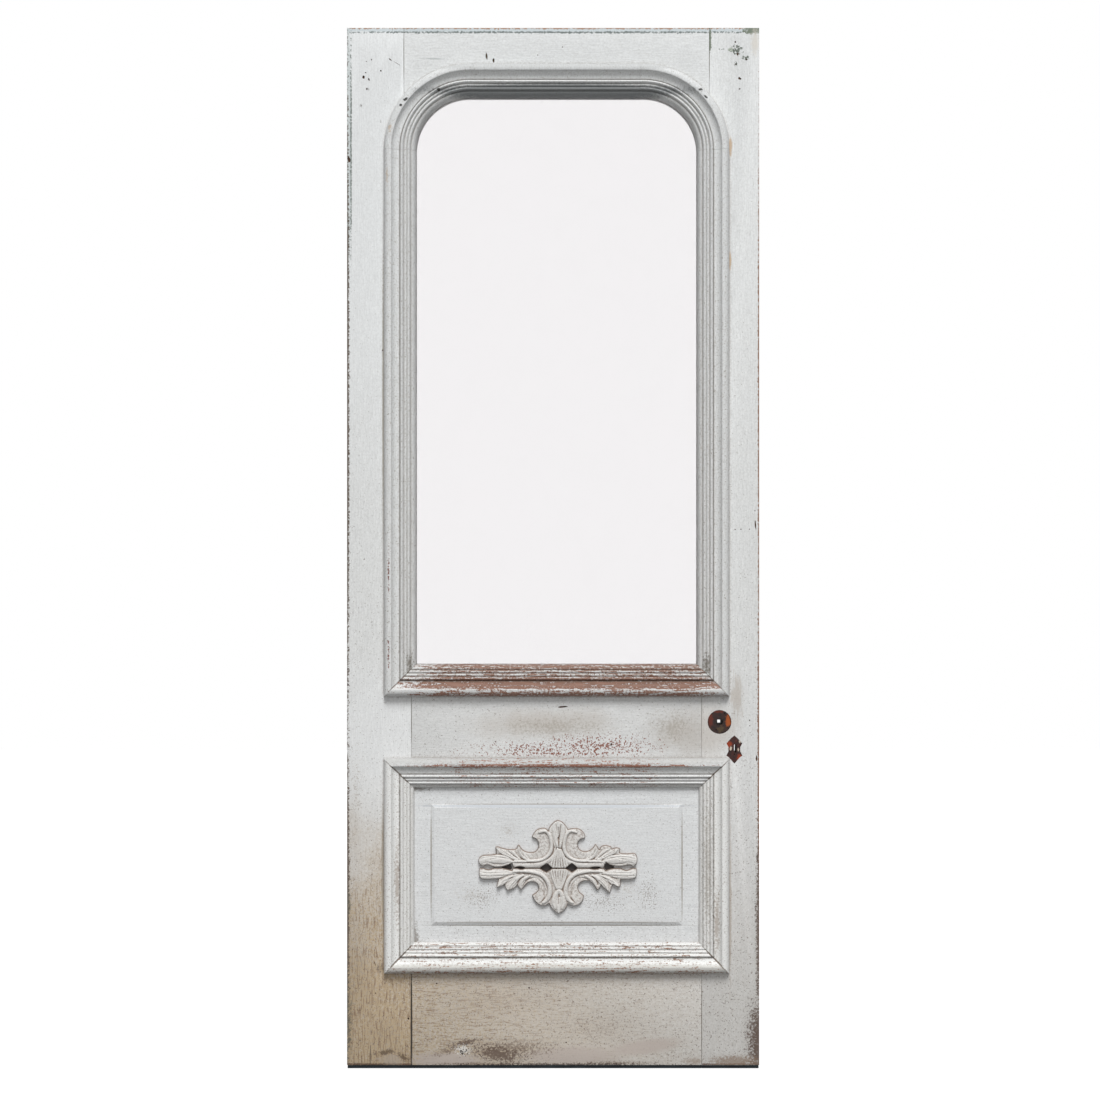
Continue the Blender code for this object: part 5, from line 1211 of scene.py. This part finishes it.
panel = working_copy("lower_panel", "raised_panel")
dress(panel, [panel_paint])
cut_dents(panel, [(0.2675, 0.5756, 0.0080, 0.0022, 0.0008, 0),
                  (0.155, 0.300, 0.0030, 0.0060, 0.0010, 0)], bare, 9)
settle(panel, 12)
hand_over(panel, ["lower_panel"])

# Mouldings and the beads behind them
light_box = (LIGHT_LEFT - LIGHT_LAP, LIGHT_RIGHT + LIGHT_LAP,
             LIGHT_BOTTOM - LIGHT_LAP, LIGHT_TOP + LIGHT_LAP)
frame_of_runs("run_light", "light_moulding", bolection(LIGHT_BAND, LIGHT_LAP, GLASS_SETBACK), light_box,
              light_paint, {"sill": sill_paint}, True)
frame_of_runs("bead_light", "back_light_bead",
              plain_bead(LIGHT_LAP, LIGHT_BEAD, GLASS_SETBACK + GLASS_THICKNESS, 0.009), light_box,
              light_paint, {}, True)
panel_box = (PANEL_LEFT - PANEL_LAP, PANEL_RIGHT + PANEL_LAP,
             PANEL_BOTTOM - PANEL_LAP, PANEL_TOP + PANEL_LAP)
frame_of_runs("run_panel", "panel_moulding", bolection(PANEL_BAND, PANEL_LAP, PANEL_SETBACK), panel_box,
              panel_trim_paint, {"top": panel_head_paint, "bottom": panel_foot_paint}, False)
panel_opening = (PANEL_LEFT, PANEL_RIGHT, PANEL_BOTTOM, PANEL_TOP)
frame_of_runs("bead_panel", "back_panel_bead",
              plain_bead(0.0, PANEL_BEAD, DOOR_THICKNESS - PANEL_SETBACK, 0.004), panel_opening,
              panel_trim_paint, {}, False)

# The carved ornament
for half, edge, forms, cuts, is_upper in (
        ("upper", UPPER_EDGE, UPPER_FORMS + mirrored(UPPER_FORMS) + UPPER_MIDDLE,
         UPPER_CUTS + mirrored(UPPER_CUTS) + UPPER_MIDDLE_CUTS, True),
        ("lower", LOWER_EDGE, LOWER_FORMS + mirrored(LOWER_FORMS) + LOWER_MIDDLE,
         LOWER_CUTS + mirrored(LOWER_CUTS) + LOWER_MIDDLE_CUTS, False)):
    piece = carved(f"carving_{half}", edge, forms, cuts, is_upper, 11 if is_upper else 12)
    dress(piece, [carving_paint])
    settle(piece, 55)
    hand_over(piece, [f"ornament_{half}"])

# Nodes whose shape is right
for node, finish in (("glass_pane", glass), ("mortise_lock", iron)):
    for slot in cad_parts[node].material_slots:
        slot.material = finish

# Floor, light and camera
bpy.ops.object.select_all(action='DESELECT')
bpy.ops.mesh.primitive_plane_add(size=14.0, location=(0.45, 0.0, FOOT_Z - 0.0005))
floor = bpy.context.active_object
floor.name = "pale_floor"

# A studio's matt paper floor, lit from below, so that it is nearly white with a soft shadow on it
floor_finish, tree, shader, _ = new_finish("pale_studio_floor")
put(tree, shader, {"Base Color": srgb("6A6A6A"), "Roughness": 0.9, "Emission Color": (1.0, 1.0, 1.0, 1.0),
                   "Emission Strength": 0.92})
floor.data.materials.append(floor_finish)
floor.visible_diffuse = False


def studio_light(kind, name, energy, place, tilt, turn):
    """A soft light, tilted and turned by degrees."""
    light = bpy.data.objects.new(name, bpy.data.lights.new(name, kind))
    light.data.energy = energy
    light.location = place
    light.rotation_euler = (math.radians(tilt), 0.0, math.radians(turn))
    bpy.context.scene.collection.objects.link(light)
    return light


back = studio_light('AREA', "back_soft_light", 190, (0.45, 5.2, 1.6), -74, 0)
back.visible_camera = False
back.visible_transmission = False
sun = studio_light('SUN', "high_soft_light", 3.15, (0.0, 0.0, 0.0), 38, 6)
sun.data.angle = math.radians(28)
front = studio_light('AREA', "front_soft_light", 82, (0.45, -5.2, 0.6), 84, 0)
for light in (back, front):
    light.data.shape = 'RECTANGLE'
    light.data.size = 3.5
    light.data.size_y = 3.0
    light.visible_glossy = False

world = bpy.data.worlds.new("pale_room")
world.use_nodes = True
tree = world.node_tree
rays = add(tree, "ShaderNodeLightPath", {}, give=None)
seen = add(tree, "ShaderNodeMath", {0: rays.outputs["Is Camera Ray"], 1: rays.outputs["Is Transmission Ray"]},
           operation='MAXIMUM')
power = add(tree, "ShaderNodeMapRange", {"Value": seen, "To Min": 0.10, "To Max": 1.0})
put(tree, tree.nodes["Background"], {"Color": (1.0, 1.0, 1.0, 1.0), "Strength": power})
bpy.context.scene.world = world
bpy.context.scene.view_settings.view_transform = 'Standard'

camera = bpy.data.objects.new("camera", bpy.data.cameras.new("camera"))
camera.data.sensor_width = 36.0
camera.data.lens = 64.9
camera.location = (0.4473, -4.4255, -0.0536)
camera.rotation_euler = (math.radians(90), 0.0, 0.0)
bpy.context.scene.collection.objects.link(camera)
bpy.context.scene.camera = camera
